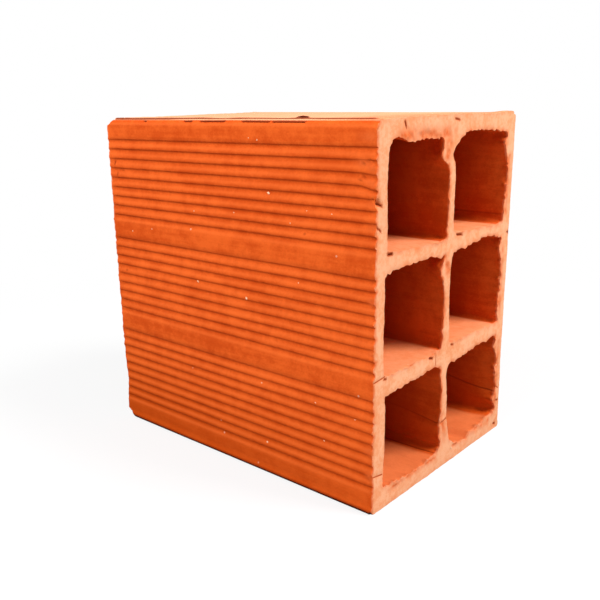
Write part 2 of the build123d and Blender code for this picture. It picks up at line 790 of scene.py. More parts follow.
# Pushes on the sides of every rear mouth: side, span of places along it, span of pushes, spread and depth
REAR_PUSHES = (
    (CellSide.ROOF, (15.0, 40.0), (-1.6, 1.8), 12.0, 20.0),
    (CellSide.FAR, (10.0, 45.0), (-3.5, 1.0), 5.0, 5.0),
    (CellSide.NEAR, (10.0, 45.0), (-1.2, 1.2), 10.0, 12.0),
    (CellSide.FLOOR, (5.0, 50.0), (-1.0, 1.6), 6.0, 8.0),
)


@dataclass(frozen=True)
class MeshSteps:
    """How closely the brick's mesh follows its forms."""

    # Widest steps round the smooth faces and round a cell
    face: float = 2.4
    cell: float = 0.95
    # Points of an end face: spacing, distance from the edges, stray in spacings, and spacing where torn
    cap: float = 1.7
    margin: float = 0.75
    stray: float = 0.3
    torn: float = 0.9
    torn_least: float = 0.3
    # Stations of the outside and of a cell: step next to a cut, growth of the steps, and widest step
    shell: Triple = (0.3, 1.22, 3.6)
    cells: Triple = (0.35, 1.55, 22.0)
    # Steps round the long edges, points down a groove's flanks on each side, steps round a cell's corner
    long_edges: tuple[int, ...] = (9, 9, 26, 9)
    grooves: tuple[tuple[int, int], ...] = ((3, 4), (5, 6))
    cell_corner: int = 6
    # Points across the ledge's wall, stations along a nick, and stations over the lump in half lengths
    ledge: tuple[float, ...] = (-0.9, -0.45, 0.0, 0.45, 0.9, 1.8, 2.7, 3.8, 5.0)
    nick: tuple[float, ...] = (-0.9, -0.3, 0.3, 0.9)
    lump: tuple[float, ...] = (-1.2, -0.8, 0.0, 0.8, 1.2)
    # Angle in degrees past which an edge shades sharp
    sharp_angle: float = 38.0


@dataclass(frozen=True)
class RaggedEdge:
    """How the wire tore the edges of a cut."""

    # Raggedness where the wire went in, and what is added where it came out, on roofs and on sills
    clean: float = 0.2
    leaving: float = 0.6
    hanging: float = 0.45
    sill: float = 0.3
    # Share of it on the outside of the brick
    outside: float = 0.4
    # Burrs: how far they stand out, how far they reach along the walls and over the end face
    proud: float = 0.15
    depth: float = 1.5
    reach: float = 1.1
    # Lack of the cut's paleness on edges that face the near side, and share of such an edge
    bare: float = 0.75
    bare_share: float = 0.8

    def at(self, away: Array) -> Array:
        """How far the wire tore an edge, by the way the clay faces there."""
        leaves = np.clip(-away[:, 0], 0.0, 1.0)
        hangs = np.clip(-away[:, 1], 0.0, 1.0)
        bears = np.clip(away[:, 1], 0.0, 1.0)
        return self.clean + self.leaving * leaves + self.hanging * hangs + self.sill * bears

    def burr(self, places: Array, away: Array, depth: Array, noise: ClayNoise) -> Array:
        """Torn clay beside a cut.

        Args:
            places: Points of a skin.
            away: Directions out of the clay.
            depth: Distances from the cut.
            noise: Noise that tears the clay.

        Returns:
            How far the points stand out of the clean outline.
        """
        tear = self.proud + noise.ripple(places, Ripple.BURR_FINE) + noise.ripple(places, Ripple.BURR_COARSE)
        return self.at(away) * tear * np.exp(-depth / self.depth)


@dataclass(frozen=True)
class WireCut:
    """How far the cuts stand out where the wire did not run square."""

    # Front cut at the near side, what the far side adds, and what its foot adds up to a height
    front: float = 0.2
    lean: float = 0.9
    foot_lean: float = 0.5
    foot_height: float = 50.0
    # Rear cut at the upper near edge, height from which it stands out, and its loss at the far side
    rear: float = 0.9
    rear_from: float = 60.0
    rear_rise: float = 60.0
    rear_fall: float = 0.5

    def askew(self, end: End, placed: Array, width: float) -> Array:
        """How far a cut stands out.

        Args:
            end: Which end.
            placed: Points as distance from the near side and height.
            width: Width of the brick.

        Returns:
            One distance for each point.
        """
        across, up = placed[:, 0] / width, placed[:, 1]
        if end is End.FRONT:
            foot = np.clip(1.0 - up / self.foot_height, 0.0, 1.0)
            return self.front + across * (self.lean + self.foot_lean * foot)
        return self.rear * smooth((up - self.rear_from) / self.rear_rise) * (1.0 - self.rear_fall * across)


@dataclass(frozen=True)
class SaggedTop:
    """The top, which lies low along the far side, most of all by the front cut but for its corner."""

    # Place across the brick where the top starts to fall, and the distance over which it falls
    start: float = -10.0
    reach: float = 60.0
    # How low it lies at the rear cut, and what is added at the front cut
    rear: float = 0.25
    growth: float = 1.05
    # Corner that stands: place across the brick, square of its reach, and share of the sag it is spared
    corner: float = 58.0
    corner_area: float = 60.0
    held: float = 0.75

    def sag(self, places: Array, away: Array, length: float) -> Array:
        """How low the top lies.

        Args:
            places: Points of the outside.
            away: Directions out of the clay.
            length: Length of the brick.

        Returns:
            One distance for each point, which is zero off the top.
        """
        along, across = places[..., 0], places[..., 1]
        half = length / 2
        far = smooth((across - self.start) / self.reach) * (self.rear + self.growth * (along + half) / length)
        corner = np.exp(-((along - half) ** 2 + (across - self.corner) ** 2) / self.corner_area)
        return far * (1.0 - self.held * corner) * np.clip(away[:, 1], 0.0, 1.0)


@dataclass(frozen=True)
class UpperEdge:
    """Drag marks of the near upper edge: a broken seam, and above it a ledge below the crowned top.

    Angles are those of the way out of the clay above level, in degrees. The seam's dashes, the ledge's wall and
    the lump carry painted shade, and the rounding a painted highlight.
    """

    # Seam: open dashes along the brick, which carry painted shade, how they fade, and the angle at which it
    # runs
    dashes: tuple[Pair, ...] = ((-63.4, -60.6), (-29.5, -23.1), (-16.9, 1.7), (13.1, 32.3), (33.6, 54.2))
    dash_fade: float = 0.5
    dash_gain: float = 0.48
    faint: float = 0.05
    seam_angle: float = 51.0
    seam_half: float = 13.0
    seam_ease: float = 6.0
    # Ledge: distance of its wall from the near side, angle of its start, depth, and what the rear adds
    ledge_width: float = 6.4
    ledge_angle: float = 62.0
    ledge_ease: float = 14.0
    ledge_depth: float = 0.1
    rear_depth: float = 0.45
    rear_from: float = -20.0
    rear_reach: float = 30.0
    # Place along the brick where ledge and crown end
    stop: float = 93.0
    stop_fade: float = 4.0
    # Wall of the ledge: width of its slope, and its painted shade
    wall_slope: float = 0.5
    wall_shade: float = 0.86
    wall_reach: float = 0.8
    # Top beside the wall: angle from which clay belongs to it, height and reach of its crown
    level_angle: float = 89.0
    crown: float = 0.55
    crown_reach: float = 30.0
    # Lump: place along the brick, size, distance from the wall, and painted shade of its near part
    lump_at: float = 48.4
    lump_half: float = 3.4
    lump_height: float = 1.0
    lump_inset: float = 1.2
    lump_reach: float = 2.0
    lump_shade: float = 1.8
    lump_side: float = 2.5
    # Angle at which the edge's painted highlight is strongest, and angle from which dust and painted top light
    # are left
    highlight_angle: float = 20.0
    highlight_ease: float = 13.0
    dust_light_angle: float = 57.0
    dust_light_ease: float = 12.0

    def painted_highlight(self, outline: Outline) -> Array:
        """How far each point lies in the painted highlight of the edge."""
        return bell(outline.climb - self.highlight_angle, self.highlight_ease) * (outline.away[:, 0] < 0.0)

    def dust_and_light_left(self, outline: Outline) -> Array:
        """How much dust and painted top light is left at each point, which is little on the edge."""
        left = smooth((outline.climb - self.dust_light_angle) / self.dust_light_ease)
        return np.where(outline.away[:, 0] < 0.0, left, 1.0)

    def work(self, outline: Outline, along: Array, sizes: BrickSizes, noise: ClayNoise) -> tuple[Array, Array]:
        """Works out the marks.

        Args:
            outline: Outside of the section.
            along: Places along the brick, by station and point.
            sizes: Sizes of the brick.
            noise: Noise that makes them uneven.

        Returns:
            How far the marks sink the points, and their painted shade.
        """
        across = outline.places[:, 0]
        climb = outline.climb
        upper_near = (across < 0.0) & (outline.places[:, 1] > sizes.height / 2)
        spots = np.stack([along, np.zeros_like(along), np.zeros_like(along)], axis=-1)
        past_wall = across - (self.ledge_width - sizes.width / 2 + noise.ripple(spots, Ripple.LEDGE_WALL))
        below = smooth(0.5 - past_wall / self.wall_slope)
        on_top = (1.0 - below) * (climb > self.level_angle)
        through = smooth((self.stop - along) / self.stop_fade)

        angle = smooth((self.seam_half - np.abs(climb - self.seam_angle)) / self.seam_ease)
        seam = self._opened(along) * angle * upper_near
        rear = self.rear_depth * smooth((self.rear_from - along) / self.rear_reach)
        depth = self.ledge_depth + rear + noise.ripple(spots, Ripple.LEDGE_DEPTH)
        ledge = depth * smooth((climb - self.ledge_angle) / self.ledge_ease) * below * upper_near
        height = self.crown + noise.ripple(spots, Ripple.CROWN)
        crown = height * np.clip(1.0 - past_wall / self.crown_reach, 0.0, 1.0) * on_top
        blunt = ((along - self.lump_at) / self.lump_half) ** 4
        lump = np.exp(-blunt) * bell(past_wall - self.lump_inset, self.lump_reach) * on_top

        # Painted shade on the ledge's wall, on the near part of the lump and in the seam
        wall_tone = self.wall_shade * bell(past_wall, self.wall_reach) * upper_near * through
        lump_tone = np.clip(self.lump_shade * lump, 0.0, 1.0) * (past_wall < self.lump_side)
        dark = np.max([seam, wall_tone, lump_tone], axis=0)
        return seam + through * (ledge - crown) - self.lump_height * lump, dark

    def _opened(self, along: Array) -> Array:
        """How open the seam is at some places along the brick."""
        share = np.full(along.shape, self.faint)
        for start, stop in self.dashes:
            opens = np.tanh((along - start) / self.dash_fade)
            share += self.dash_gain * (opens - np.tanh((along - stop) / self.dash_fade))
        return share


@dataclass(frozen=True)
class ChipRow:
    """Small chips in a row along the edges of the cuts.

    Attributes:
        margins: Least distance of the first and of the last chip from the edge's ends, before it strays.
        spacing: Distance from chip to chip.
        stray: How far a chip strays from its place at most.
        deepest: Depth of the deepest chip.
    """

    margins: Pair
    spacing: float
    stray: float
    deepest: float

    SHALLOWEST = 0.1
    SPREAD = 3.0
    LEAST_REACH = 0.5

    def draws(self, rng: np.random.Generator, span: Pair, share: float) -> Iterator[Triple]:
        """Draws the chips of one edge.

        Args:
            rng: Source of the draws.
            span: First and last place of the edge.
            share: Share of the depth that the chips of this edge have.

        Returns:
            Place along the edge, depth and reach of each chip.
        """
        first, last = span[0] + self.margins[0], span[1] - self.margins[1]
        for place in np.arange(first, last, self.spacing):
            depth = share * rng.uniform(self.SHALLOWEST, self.deepest)
            strayed = place + rng.uniform(-self.stray, self.stray)
            yield strayed, depth, depth * self.SPREAD + self.LEAST_REACH


@dataclass
class BrickBody:
    """The fired piece itself, as one closed mesh: grooved shell, six cells and two cut ends."""

    sizes: BrickSizes
    seed: int = 782
    steps: MeshSteps = MeshSteps()
    ragged: RaggedEdge = RaggedEdge()
    cut: WireCut = WireCut()
    top: SaggedTop = SaggedTop()
    upper_edge: UpperEdge = UpperEdge()
    # Small chips of the cuts' edges, and share of their depth on the calmer edges
    upright_chips: ChipRow = ChipRow((4.0, 3.0), 7.5, 3.0, 0.4)
    level_chips: ChipRow = ChipRow((8.0, 6.0), 9.0, 4.0, 0.35)
    calm_upright: float = 0.4
    calm_level: float = 0.3
    # Mouths: how far in their outlines, floors and painted light reach, and how much the painted shade of the
    # cells lifts at them
    mouth_depth: float = 7.0
    floor_depth: float = 70.0
    mouth_light: float = 0.95
    light_depth: float = 24.0
    # Far foot of a cell: clay that fills the corner, and a strip of floor by row of cells that gets no dust or
    # painted light, which leaves painted shadow there
    foot_fill: float = 0.6
    foot_reach: float = 4.5
    foot_strip: Triple = (4.5, 2.0, 5.0)
    strip_fade: float = 3.0
    # Floors by row of cells: dust with painted light, and how pale painted light makes them at the front mouths
    floor_dust_and_light: Triple = (0.7, 0.95, 0.92)
    floor_pale: Triple = (0.0, 0.35, 0.45)
    pale_depth: float = 22.0
    # Slits: sink at which their painted shade is full, shares of it that stay open and look torn, painted shade
    # on the side
    crevice_depth: float = 0.75
    slit_share: float = 0.35
    slit_warm: float = 0.25
    side_slit_shade: float = 0.8
    # Grooves: painted shade under the upper rims, share of the floor in it, how it drops and fades at the foot,
    # then the place of the painted highlight on a long flank, and the wear at a cut
    groove_shade: float = 0.42
    rim_floor: float = 0.25
    rim_drop: float = 0.5
    rim_fade: float = 0.3
    highlight_at: float = 0.6
    end_wear: float = 0.85
    wear_reach: float = 2.5
    # Smears and crumbs beside the front cut
    smear_proud: float = 0.1
    smear_torn: float = 0.8
    crumb_reach: float = 2.2
    # Lower long edges: what their radius lacks of the die's, and the painted shadow line along the near one
    sharp_foot: float = 3.3
    foot_line: float = 0.22
    foot_line_ease: float = 0.3
    foot_line_side: float = 0.05
    # Dust and painted top light that the top lacks by the front cut, and where along the brick
    front_sweep: float = 0.4
    sweep_from: float = 45.0
    sweep_reach: float = 45.0
    # Cut faces: shares of edges and strips that are torn, and how far torn clay lies low
    rim_torn: float = 0.75
    strip_torn: float = 0.8
    torn_sunk: float = 0.15
    noise: ClayNoise = field(init=False)
    rng: np.random.Generator = field(init=False)

    def __post_init__(self) -> None:
        """Seeds the noise and the random draws."""
        self.noise = ClayNoise(self.seed)
        self.rng = np.random.default_rng(self.seed)

    @property
    def half(self) -> float:
        """Distance from the middle to either cut."""
        return self.sizes.length / 2

    def build(self) -> bpy.types.Object:
        """Makes the brick.

        Returns:
            The brick's object, with its marks on the mesh.
        """
        skins = [self._shell_skin()]
        skins += [self._cell_skin(column, row) for column, row in self.sizes.cells]
        bites = self._bites()
        mesh = ClayMesh()
        caps = [self._cap(end, skins, bites) for end in End]
        skins[0].places, skins[0].marks[Mark.CHIP] = self._chipped(skins[0].places, bites)
        firsts = [mesh.add_skin(skin) for skin in skins]
        for cap in caps:
            mesh.add_cap(cap, skins, firsts)
        return mesh.to_object(NODE + "_clay", self.steps.sharp_angle)

    def dress(self, piece: bpy.types.Object, finish: FiredClay) -> None:
        """Gives the brick its finish and its place in the frame."""
        piece.data.materials.append(finish.material())
        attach(piece, BODY)
        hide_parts(NODE)

    def _stations(self, first: float, growth: float, widest: float, kept: Array) -> Array:
        """Places along the brick, closest together at the front cut and furthest apart in the middle.

        Args:
            first: Step next to a cut.
            growth: Ratio of one step to the one before.
            widest: Widest step.
            kept: Places that are stations in any case, away from the cuts.

        Returns:
            The places, rising.
        """
        count = int(math.log(widest / first) / math.log(growth))
        inset = np.cumsum(np.append(0.0, first * growth ** np.arange(count)))
        rear = np.cumsum(np.append(0.0, first * growth ** (2.0 * np.arange(count // 2))))
        return filled(np.concatenate([rear - self.half, kept, self.half - inset]), widest)

    def _shell_breaks(self) -> Array:
        """Stations that the marks of the near side need, at the dashes, the nicks and the lump."""
        edge = self.upper_edge
        dashes = np.add.outer(np.array(edge.dashes).ravel(), (-edge.dash_fade, edge.dash_fade)).ravel()
        nicks = [self.half - slit.start[0] for slit in SIDE_SLITS if slit.start[0] > self.half]
        lump = edge.lump_at + edge.lump_half * np.array(self.steps.lump)
        return np.concatenate([dashes, np.add.outer(nicks, self.steps.nick).ravel(), lump])

    def _shell_outline(self) -> Outline:
        """Draws the outside of the section, with the grooves of both tall sides."""
        size = self.sizes
        rims = size.groove_rims()
        steep_flank = size.groove_steep_flank
        floor_end = steep_flank + size.groove_floor
        low = np.array([-size.width / 2, 0.0])
        high = np.array([size.width / 2, size.height])
        wall = low[0] + self.upper_edge.ledge_width + np.array(self.steps.ledge)
        corners = [low[0] + size.long_edge, high[0] - size.long_edge]
        level = filled(np.append(wall, corners), self.steps.face)[1:-1]
        ends = [low[1] + size.long_edge, high[1] - size.long_edge]
        uprights = []
        for steep, long in self.steps.grooves:
            flanks = (np.linspace(0.0, steep_flank, steep), np.linspace(floor_end, size.groove_mouth, long))
            points = np.subtract.outer(rims, np.concatenate(flanks)).ravel()
            uprights.append(filled(np.append(points, ends), self.steps.face)[1:-1])
        places, away = rounded_outline(low, high, size.long_edge, level, tuple(uprights), self.steps.long_edges)
        below = np.subtract.outer(rims, places[:, 1])
        on_side = np.abs(away[:, 0]) > SQUARE_ON
        low_down = 1.0 - places[:, 1] / size.height
        # Painted shade under the grooves' upper rims, lower, wider and weaker towards the foot, and a painted
        # highlight on the long flanks
        middle = (steep_flank + size.groove_floor * self.rim_floor) / 2
        rim = below - middle * (1.0 + self.rim_drop * low_down)
        dark = bell(rim, middle * (1.0 + low_down)).max(axis=0)
        dark *= self.groove_shade * (1.0 - self.rim_fade * low_down)
        crest = bell(below - floor_end - size.groove_long_flank * self.highlight_at, size.groove_floor).max(axis=0)
        depth = size.groove_depth_at(below).max(axis=0)
        return Outline(places, away, *(np.where(on_side, values, 0.0) for values in (depth, dark, crest)))

    def _cell_outline(self, column: int, row: int) -> Outline:
        """Draws one cell, seen from the clay around it."""
        size = self.sizes
        low = size.cell_low(column, row)
        high = low + np.array(size.cell)
        sides = [[low[axis] + size.cell_corner, high[axis] - size.cell_corner] for axis in (0, 1)]
        for crease in CREASES:
            if crease.cell == (column, row):
                axis = 0 if crease.at[1] == 0.0 else 1
                middle = low[axis] + crease.at[axis]
                sides[axis] += [middle + step * crease.width for step in crease.BESIDE]
        level, upright = (filled(values, self.steps.cell)[1:-1] for values in sides)
        steps = (self.steps.cell_corner,) * 4
        places, outward = rounded_outline(low, high, size.cell_corner, level, (upright, upright), steps)
        plain = np.zeros(len(places))
        return Outline(places, -outward, plain, plain, plain)

    @staticmethod
    def _extruded(outline: Outline, stations: Array) -> Array:
        """Repeats an outline at every station along the brick."""
        places = np.empty((len(stations), len(outline.places), 3))
        places[..., 0] = stations[:, None]
        places[..., 1:] = outline.places
        return places

    def _shell_skin(self) -> Skin:
        """Works the outside: grooves with smears, drag lines, marks of the near upper edge and burrs, with
        painted shade and highlights.
        """
        outline = self._shell_outline()
        away = outline.away
        places = self._extruded(outline, self._stations(*self.steps.shell, self._shell_breaks()))
        along = places[..., 0]
        to_end = self.half - np.abs(along)
        to_front = self.half - along
        near = away[:, 0] < 0.0
        smear, drop = self._smeared(to_front, places[..., 2], near)
        seams, dark = self.upper_edge.work(outline, along, self.sizes, self.noise)
        spots = np.stack([to_front, places[..., 2]], axis=-1)
        slits = np.max([slit.sink(spots) for slit in SIDE_SLITS], axis=0) * near

        worn = np.where(near, self.half + along, to_end)
        lift = -outline.groove * (1.0 - smear) * (1.0 - self.end_wear * bell(worn, self.wear_reach))
        lift += smear * (self.smear_proud + self.noise.ripple(places, Ripple.SMEAR))
        lift += self.noise.ripple(places, Ripple.SHELL_DRAG) + self.noise.ripple(places, Ripple.SHELL_DENTS)
        lift += self.ragged.outside * self.ragged.burr(places, away, to_end, self.noise)
        lift -= seams + self.top.sag(places, away, self.sizes.length)
        lift += self.sharp_foot * (np.abs(away).sum(axis=1) - 1.0) * (away[:, 1] < 0.0)
        lift += near * np.exp(-to_front / self.crumb_reach) * self.noise.ripple(places, Ripple.CRUMBS)
        lift -= self.slit_share * slits
        places[..., 1:] += lift[..., None] * away
        places[..., 2] += self.noise.ripple(places, Ripple.GROOVE_WANDER) * np.abs(away[:, 0]) - drop
        places[..., 2] = np.clip(places[..., 2], 0.0, None)

        # Painted shadow line along the near lower edge, where the brick meets the floor
        looks_down = smooth((-self.foot_line - away[:, 1]) / self.foot_line_ease)
        foot = looks_down * (away[:, 0] < -self.foot_line_side)
        # Painted shade under the groove rims, less where smears fill the grooves
        dark = np.maximum(dark, outline.dark * (1.0 - smear))
        # Painted shade in the side's slits
        dark = np.maximum(dark, self.side_slit_shade * np.clip(slits / self.crevice_depth, 0.0, 1.0))
        left = 1.0 - self.front_sweep * smooth((along - self.sweep_from) / self.sweep_reach)
        marks = {
            Mark.TORN: np.clip(smear * self.smear_torn, 0.0, 1.0),
            Mark.CREVICE: np.maximum(dark, foot),
            # Painted highlight on the long flanks and on the rounding of the near upper edge
            Mark.CREST: np.maximum(outline.crest, self.upper_edge.painted_highlight(outline)) * (1.0 - smear),
            # Dust with painted top light, little on the edge and less by the front cut
            Mark.BED: outline.bed * self.upper_edge.dust_and_light_left(outline) * left,
        }
        return Skin(places, away, marks, True)

    @staticmethod
    def _smeared(to_front: Array, height: Array, near: Array) -> tuple[Array, Array]:
        """Finds what the smears do to the grooves.

        Args:
            to_front: Distances of the points from the front cut.
            height: Heights of the points.
            near: Which places of the outline face the near side.

        Returns:
            Share of the grooves' depth that is filled, and how far they are pulled down.
        """
        smear = np.zeros(to_front.shape)
        drop = np.zeros(to_front.shape)
        for patch in SMEARS:
            share = patch.share(to_front, height) * near
            smear = np.maximum(smear, patch.fill * share)
            drop = np.maximum(drop, patch.drop * share)
        return smear, drop

    def _cell_skin(self, column: int, row: int) -> Skin:
        """Works one cell: walls that bow a little, drag lines, pushed mouths and burrs, with painted shade deep
        inside and painted light on the floors.
        """
        outline = self._cell_outline(column, row)
        places = self._extruded(outline, self._stations(*self.steps.cells, np.empty(0)))
        along = places[..., 0]
        to_front = self.half - along
        to_end = self.half - np.abs(along)
        spots = outline.places - self.sizes.cell_low(column, row)
        lift = self.noise.ripple(places, Ripple.CELL_DRAG) + self.noise.ripple(places, Ripple.CELL_BOW)
        dark = np.zeros(along.shape)
        slide = np.zeros(along.shape)
        for crease in CREASES:
            if crease.cell == (column, row):
                gap = np.linalg.norm(spots - np.array(crease.at), axis=-1)
                line = crease.lift * bell(gap, crease.width) * bell(to_front, crease.reach)
                lift += line
                # Painted shade along sunk creases
                dark = np.maximum(dark, -crease.SHADE * line)
                slide += crease.climb * np.minimum(to_front, crease.reach) * bell(gap, crease.PULL)
        shift = lift[..., None] * outline.away
        shift[..., 1] += slide
        foot = np.linalg.norm(spots - (self.sizes.cell[0], 0.0), axis=-1)
        shift += bell(foot, self.foot_reach)[:, None] * self.foot_fill * np.array([-1.0, 1.0])
        shift += self._pushed((column, row), spots, along)
        burr = self.ragged.burr(places, outline.away, to_end, self.noise)
        places[..., 1:] += shift + burr[..., None] * outline.away
        # Dust and painted light on the floors, left off a strip by the far foot as painted shadow
        bed = outline.bed * smooth((self.sizes.cell[0] - self.foot_strip[row] - spots[:, 0]) / self.strip_fade)
        marks = {
            # Painted shade deep in the cell, lifted near the mouths
            Mark.CELL: 1.0 - self.mouth_light * bell(to_end, self.light_depth),
            Mark.CREVICE: dark,
            # Dust with painted light on the floor
            Mark.BED: np.broadcast_to(bed * self.floor_dust_and_light[row], along.shape),
            # Painted light that makes the floor pale by the front mouth, fading inwards
            Mark.CUT: bed * self.floor_pale[row] * bell(to_front, self.pale_depth),
            Mark.INSIDE: np.ones(along.shape),
        }
        return Skin(places, outline.away, marks, False)

    def _pushed(self, cell: tuple[int, int], spots: Array, along: Array) -> Array:
        """Finds how the mouths of a cell are pushed out of its outline.

        Args:
            cell: Column and row of the cell.
            spots: Points of its outline, from its lower near corner.
            along: Places along the brick, by station and point.

        Returns:
            How far the points move, across and up.
        """
        to_front = self.half - along
        moved = np.zeros((*along.shape, 2))
        for shape in FRONT_MOUTHS:
            if shape.cell == cell:
                walls, floor = shape.offsets(spots, self.sizes.cell)
                moved += bell(to_front, self.mouth_depth)[..., None] * walls
                moved += bell(to_front, self.floor_depth)[..., None] * floor
        for end, marks in ((End.FRONT, FRONT_MARKS), (End.REAR, self._rear_marks())):
            depth = self.half - end.value * along
            for mark in marks:
                if mark.cell == cell:
                    moved += mark.share(spots, depth)[..., None] * np.array(mark.push)
        return moved

    def _rear_marks(self) -> list[MouthMark]:
        """Draws the pushes on the rear mouths, which show on no picture."""
        rng = np.random.default_rng(self.seed + 1)
        marks = []
        for cell, (side, places, pushes, spread, depth) in product(self.sizes.cells, REAR_PUSHES):
            axis, high = side.value
            along = rng.uniform(*places)
            push = rng.uniform(*pushes)
            edge = self.sizes.cell[axis] if high else 0.0
            at, move = ((along, edge), (0.0, push)) if axis else ((edge, along), (push, 0.0))
            marks.append(MouthMark(cell, at, move, spread, depth))
        return marks

    def _bites(self) -> list[Bite]:
        """Chips of the corners and edges: those that the picture shows, and small ones all round."""
        half = self.half
        side = self.sizes.width / 2
        top = self.sizes.height
        bites = [
            Bite((-half, -side, top), (-0.68, -0.30, 0.67), 2.5, 6.0),
            Bite((-half, -side, 0.0), (-0.75, -0.40, -0.50), 4.0, 8.0),
            Bite((-half, -side, 27.0), (-0.85, -0.55, 0.0), 1.3, 11.0),
            Bite((half, -side, 0.0), (0.6, -0.6, -0.5), 1.4, 3.0),
            Bite((half, side, top), (0.5, 0.5, 0.7), 2.2, 5.0),
            Bite((-half, side, top), (-0.6, 0.6, 0.5), 2.4, 6.0),
            Bite((half - 2.0, -side, 155.2), (0.0, -1.0, 0.0), 1.3, 1.1),
            Bite((half, 1.5 - side, 154.0), (1.0, -0.3, 0.0), 1.6, 1.4),
        ]
        for end, face in product((End.REAR, End.FRONT), (-1, 1)):
            share = 1.0 if (end, face) == (End.FRONT, -1) else self.calm_upright
            for up, depth, reach in self.upright_chips.draws(self.rng, (0.0, top), share):
                edge = self._cut_edge(end, face * side, up)
                bites.append(Bite(edge, (end.value, face, 0.0), depth, reach))
            share = self.calm_level if end is End.FRONT else 1.0
            for across, depth, reach in self.level_chips.draws(self.rng, (-side, side), share):
                edge = self._cut_edge(end, across, top * (face + 1) / 2)
                bites.append(Bite(edge, (end.value, 0.0, face), depth, reach))
        return bites

    def _cut_edge(self, end: End, across: float, up: float) -> Triple:
        """Point of a cut, which stands askew, at a place across the brick and a height."""
        placed = np.array([[across + self.sizes.width / 2, up]])
        stands = float(self.cut.askew(end, placed, self.sizes.width)[0])
        return end.value * (self.half + stands), across, up

    def _chipped(self, places: Array, bites: list[Bite]) -> tuple[Array, Array]:
        """Knocks all chips out of some points.

        Args:
            places: Points of the clay's surface.
            bites: The chips.

        Returns:
            The points after the chips went, and how fresh the clay is there.
        """
        fresh = np.zeros(places.shape[:-1])
        for bite in bites:
            places, share = bite.take(places, self.noise)
            fresh = np.maximum(fresh, share)
        return places, fresh

    def _cap(self, end: End, skins: list[Skin], bites: list[Bite]) -> Cap:
        """Closes one cut end between the shell and the cells, and roughens it.

        Args:
            end: Which end.
            skins: Shell and cells, whose end rings are shared and set to the end's relief.
            bites: Chips of the whole brick.

        Returns:
            The end face's own points and its triangles.
        """
        ragged = self.ragged
        rings = [skin.places[end.row, :, 1:] for skin in skins]
        rim = np.concatenate(rings)
        count = len(rim)
        away = np.concatenate([skin.away for skin in skins])
        torn_rim = ragged.at(away) / (ragged.clean + ragged.leaving)
        torn_rim[:len(rings[0])] *= ragged.outside
        flat = np.concatenate([rim, self._cap_points(end, rings, rim)])
        gap, number = nearest(flat, rim)
        relief, torn, dark = self._relief(end, flat, torn_rim[number] * bell(gap, ragged.reach))
        places = np.column_stack([end.value * (self.half + relief), flat])
        patches = np.clip(ragged.bare_share + self.noise.ripple(places[:count], Ripple.BARE_PATCHES), 0.0, 1.0)
        pale = 1.0 - ragged.bare * np.clip(-away[:, 0], 0.0, 1.0) * patches
        start = 0
        for skin in skins:
            stop = start + skin.places.shape[1]
            skin.places[end.row, :, 0] = places[start:stop, 0]
            for mark, values in ((Mark.TORN, torn), (Mark.CREVICE, dark), (Mark.CUT, pale)):
                skin.marks.setdefault(mark, np.zeros(skin.places.shape[:2]))[end.row] = values[start:stop]
            start = stop
        own, fresh = self._chipped(places[count:], bites)
        marks = {Mark.CUT: np.ones(len(own)), Mark.CHIP: fresh}
        marks |= {Mark.TORN: torn[count:], Mark.CREVICE: dark[count:]}
        return Cap(end, own, marks, self._triangles(flat, rings))

    def _cap_points(self, end: End, rings: list[Array], rim: Array) -> Array:
        """Spreads points over an end face, with more of them at its cracks and pits.

        Args:
            end: Which end.
            rings: Loops of the shell and the cells.
            rim: All their points.

        Returns:
            Rows of y and z, all in the clay.
        """
        steps = self.steps
        shift = np.array([-self.sizes.width / 2, 0.0])
        chosen = np.empty((0, 2))
        if end is End.FRONT:
            slits = np.unique(np.concatenate([slit.guides() for slit in FRONT_SLITS]).round(3), axis=0) + shift
            fine = self._grid(steps.torn)
            torn = np.max([strip.share(fine - shift) for strip in FRONT_STRIPS], axis=0)
            fine = fine[torn > steps.torn_least]
            fine = fine[nearest(fine, slits)[0] > steps.torn / 2]
            chosen = np.concatenate([slits, fine])
            chosen = chosen[within(chosen, rings)]
            chosen = chosen[nearest(chosen, rim)[0] > steps.margin / 2]
        grid = self._grid(steps.cap)
        grid = grid[within(grid, rings)]
        grid = grid[nearest(grid, rim)[0] > steps.margin]
        if len(chosen):
            grid = grid[nearest(grid, chosen)[0] > steps.margin]
        return np.concatenate([chosen, grid])

    def _grid(self, step: float) -> Array:
        """Uneven grid of points over a whole end face."""
        half = self.sizes.width / 2
        lines = np.meshgrid(np.arange(-half, half, step), np.arange(0.0, self.sizes.height, step))
        grid = np.stack(lines, axis=-1).reshape(-1, 2)
        return grid + self.rng.uniform(-self.steps.stray, self.steps.stray, grid.shape) * step

    def _relief(self, end: End, flat: Array, torn: Array) -> tuple[Array, Array, Array]:
        """Works out how a cut end departs from flat.

        Args:
            end: Which end.
            flat: Points as y and z.
            torn: How torn the clay is beside the cut edges.

        Returns:
            How far the points stand out of the flat cut, how torn they are, and the painted shade of their
            slits.
        """
        spots = np.column_stack([np.full(len(flat), end.value * self.half), flat])
        placed = flat + np.array([self.sizes.width / 2, 0.0])
        torn = torn * np.clip(self.rim_torn + self.noise.ripple(spots, Ripple.RIM_PATCHES), 0.0, 1.0)
        sunk = np.zeros(len(flat))
        if end is End.FRONT:
            patchy = np.clip(self.strip_torn + self.noise.ripple(spots, Ripple.STRIP_PATCHES), 0.0, 1.0)
            for strip in FRONT_STRIPS:
                torn = np.maximum(torn, strip.share(placed) * patchy)
            sunk = np.max([slit.sink(placed) for slit in FRONT_SLITS], axis=0)
        relief = self.noise.ripple(spots, Ripple.CUT_WAVES) + self.noise.ripple(spots, Ripple.CUT_GRAIN)
        relief += self.cut.askew(end, placed, self.sizes.width)
        relief += torn * (self.noise.ripple(spots, Ripple.TORN_CRUMBS) - self.torn_sunk)
        torn = np.maximum(torn, np.clip(sunk / (self.slit_warm * self.crevice_depth), 0.0, 1.0))
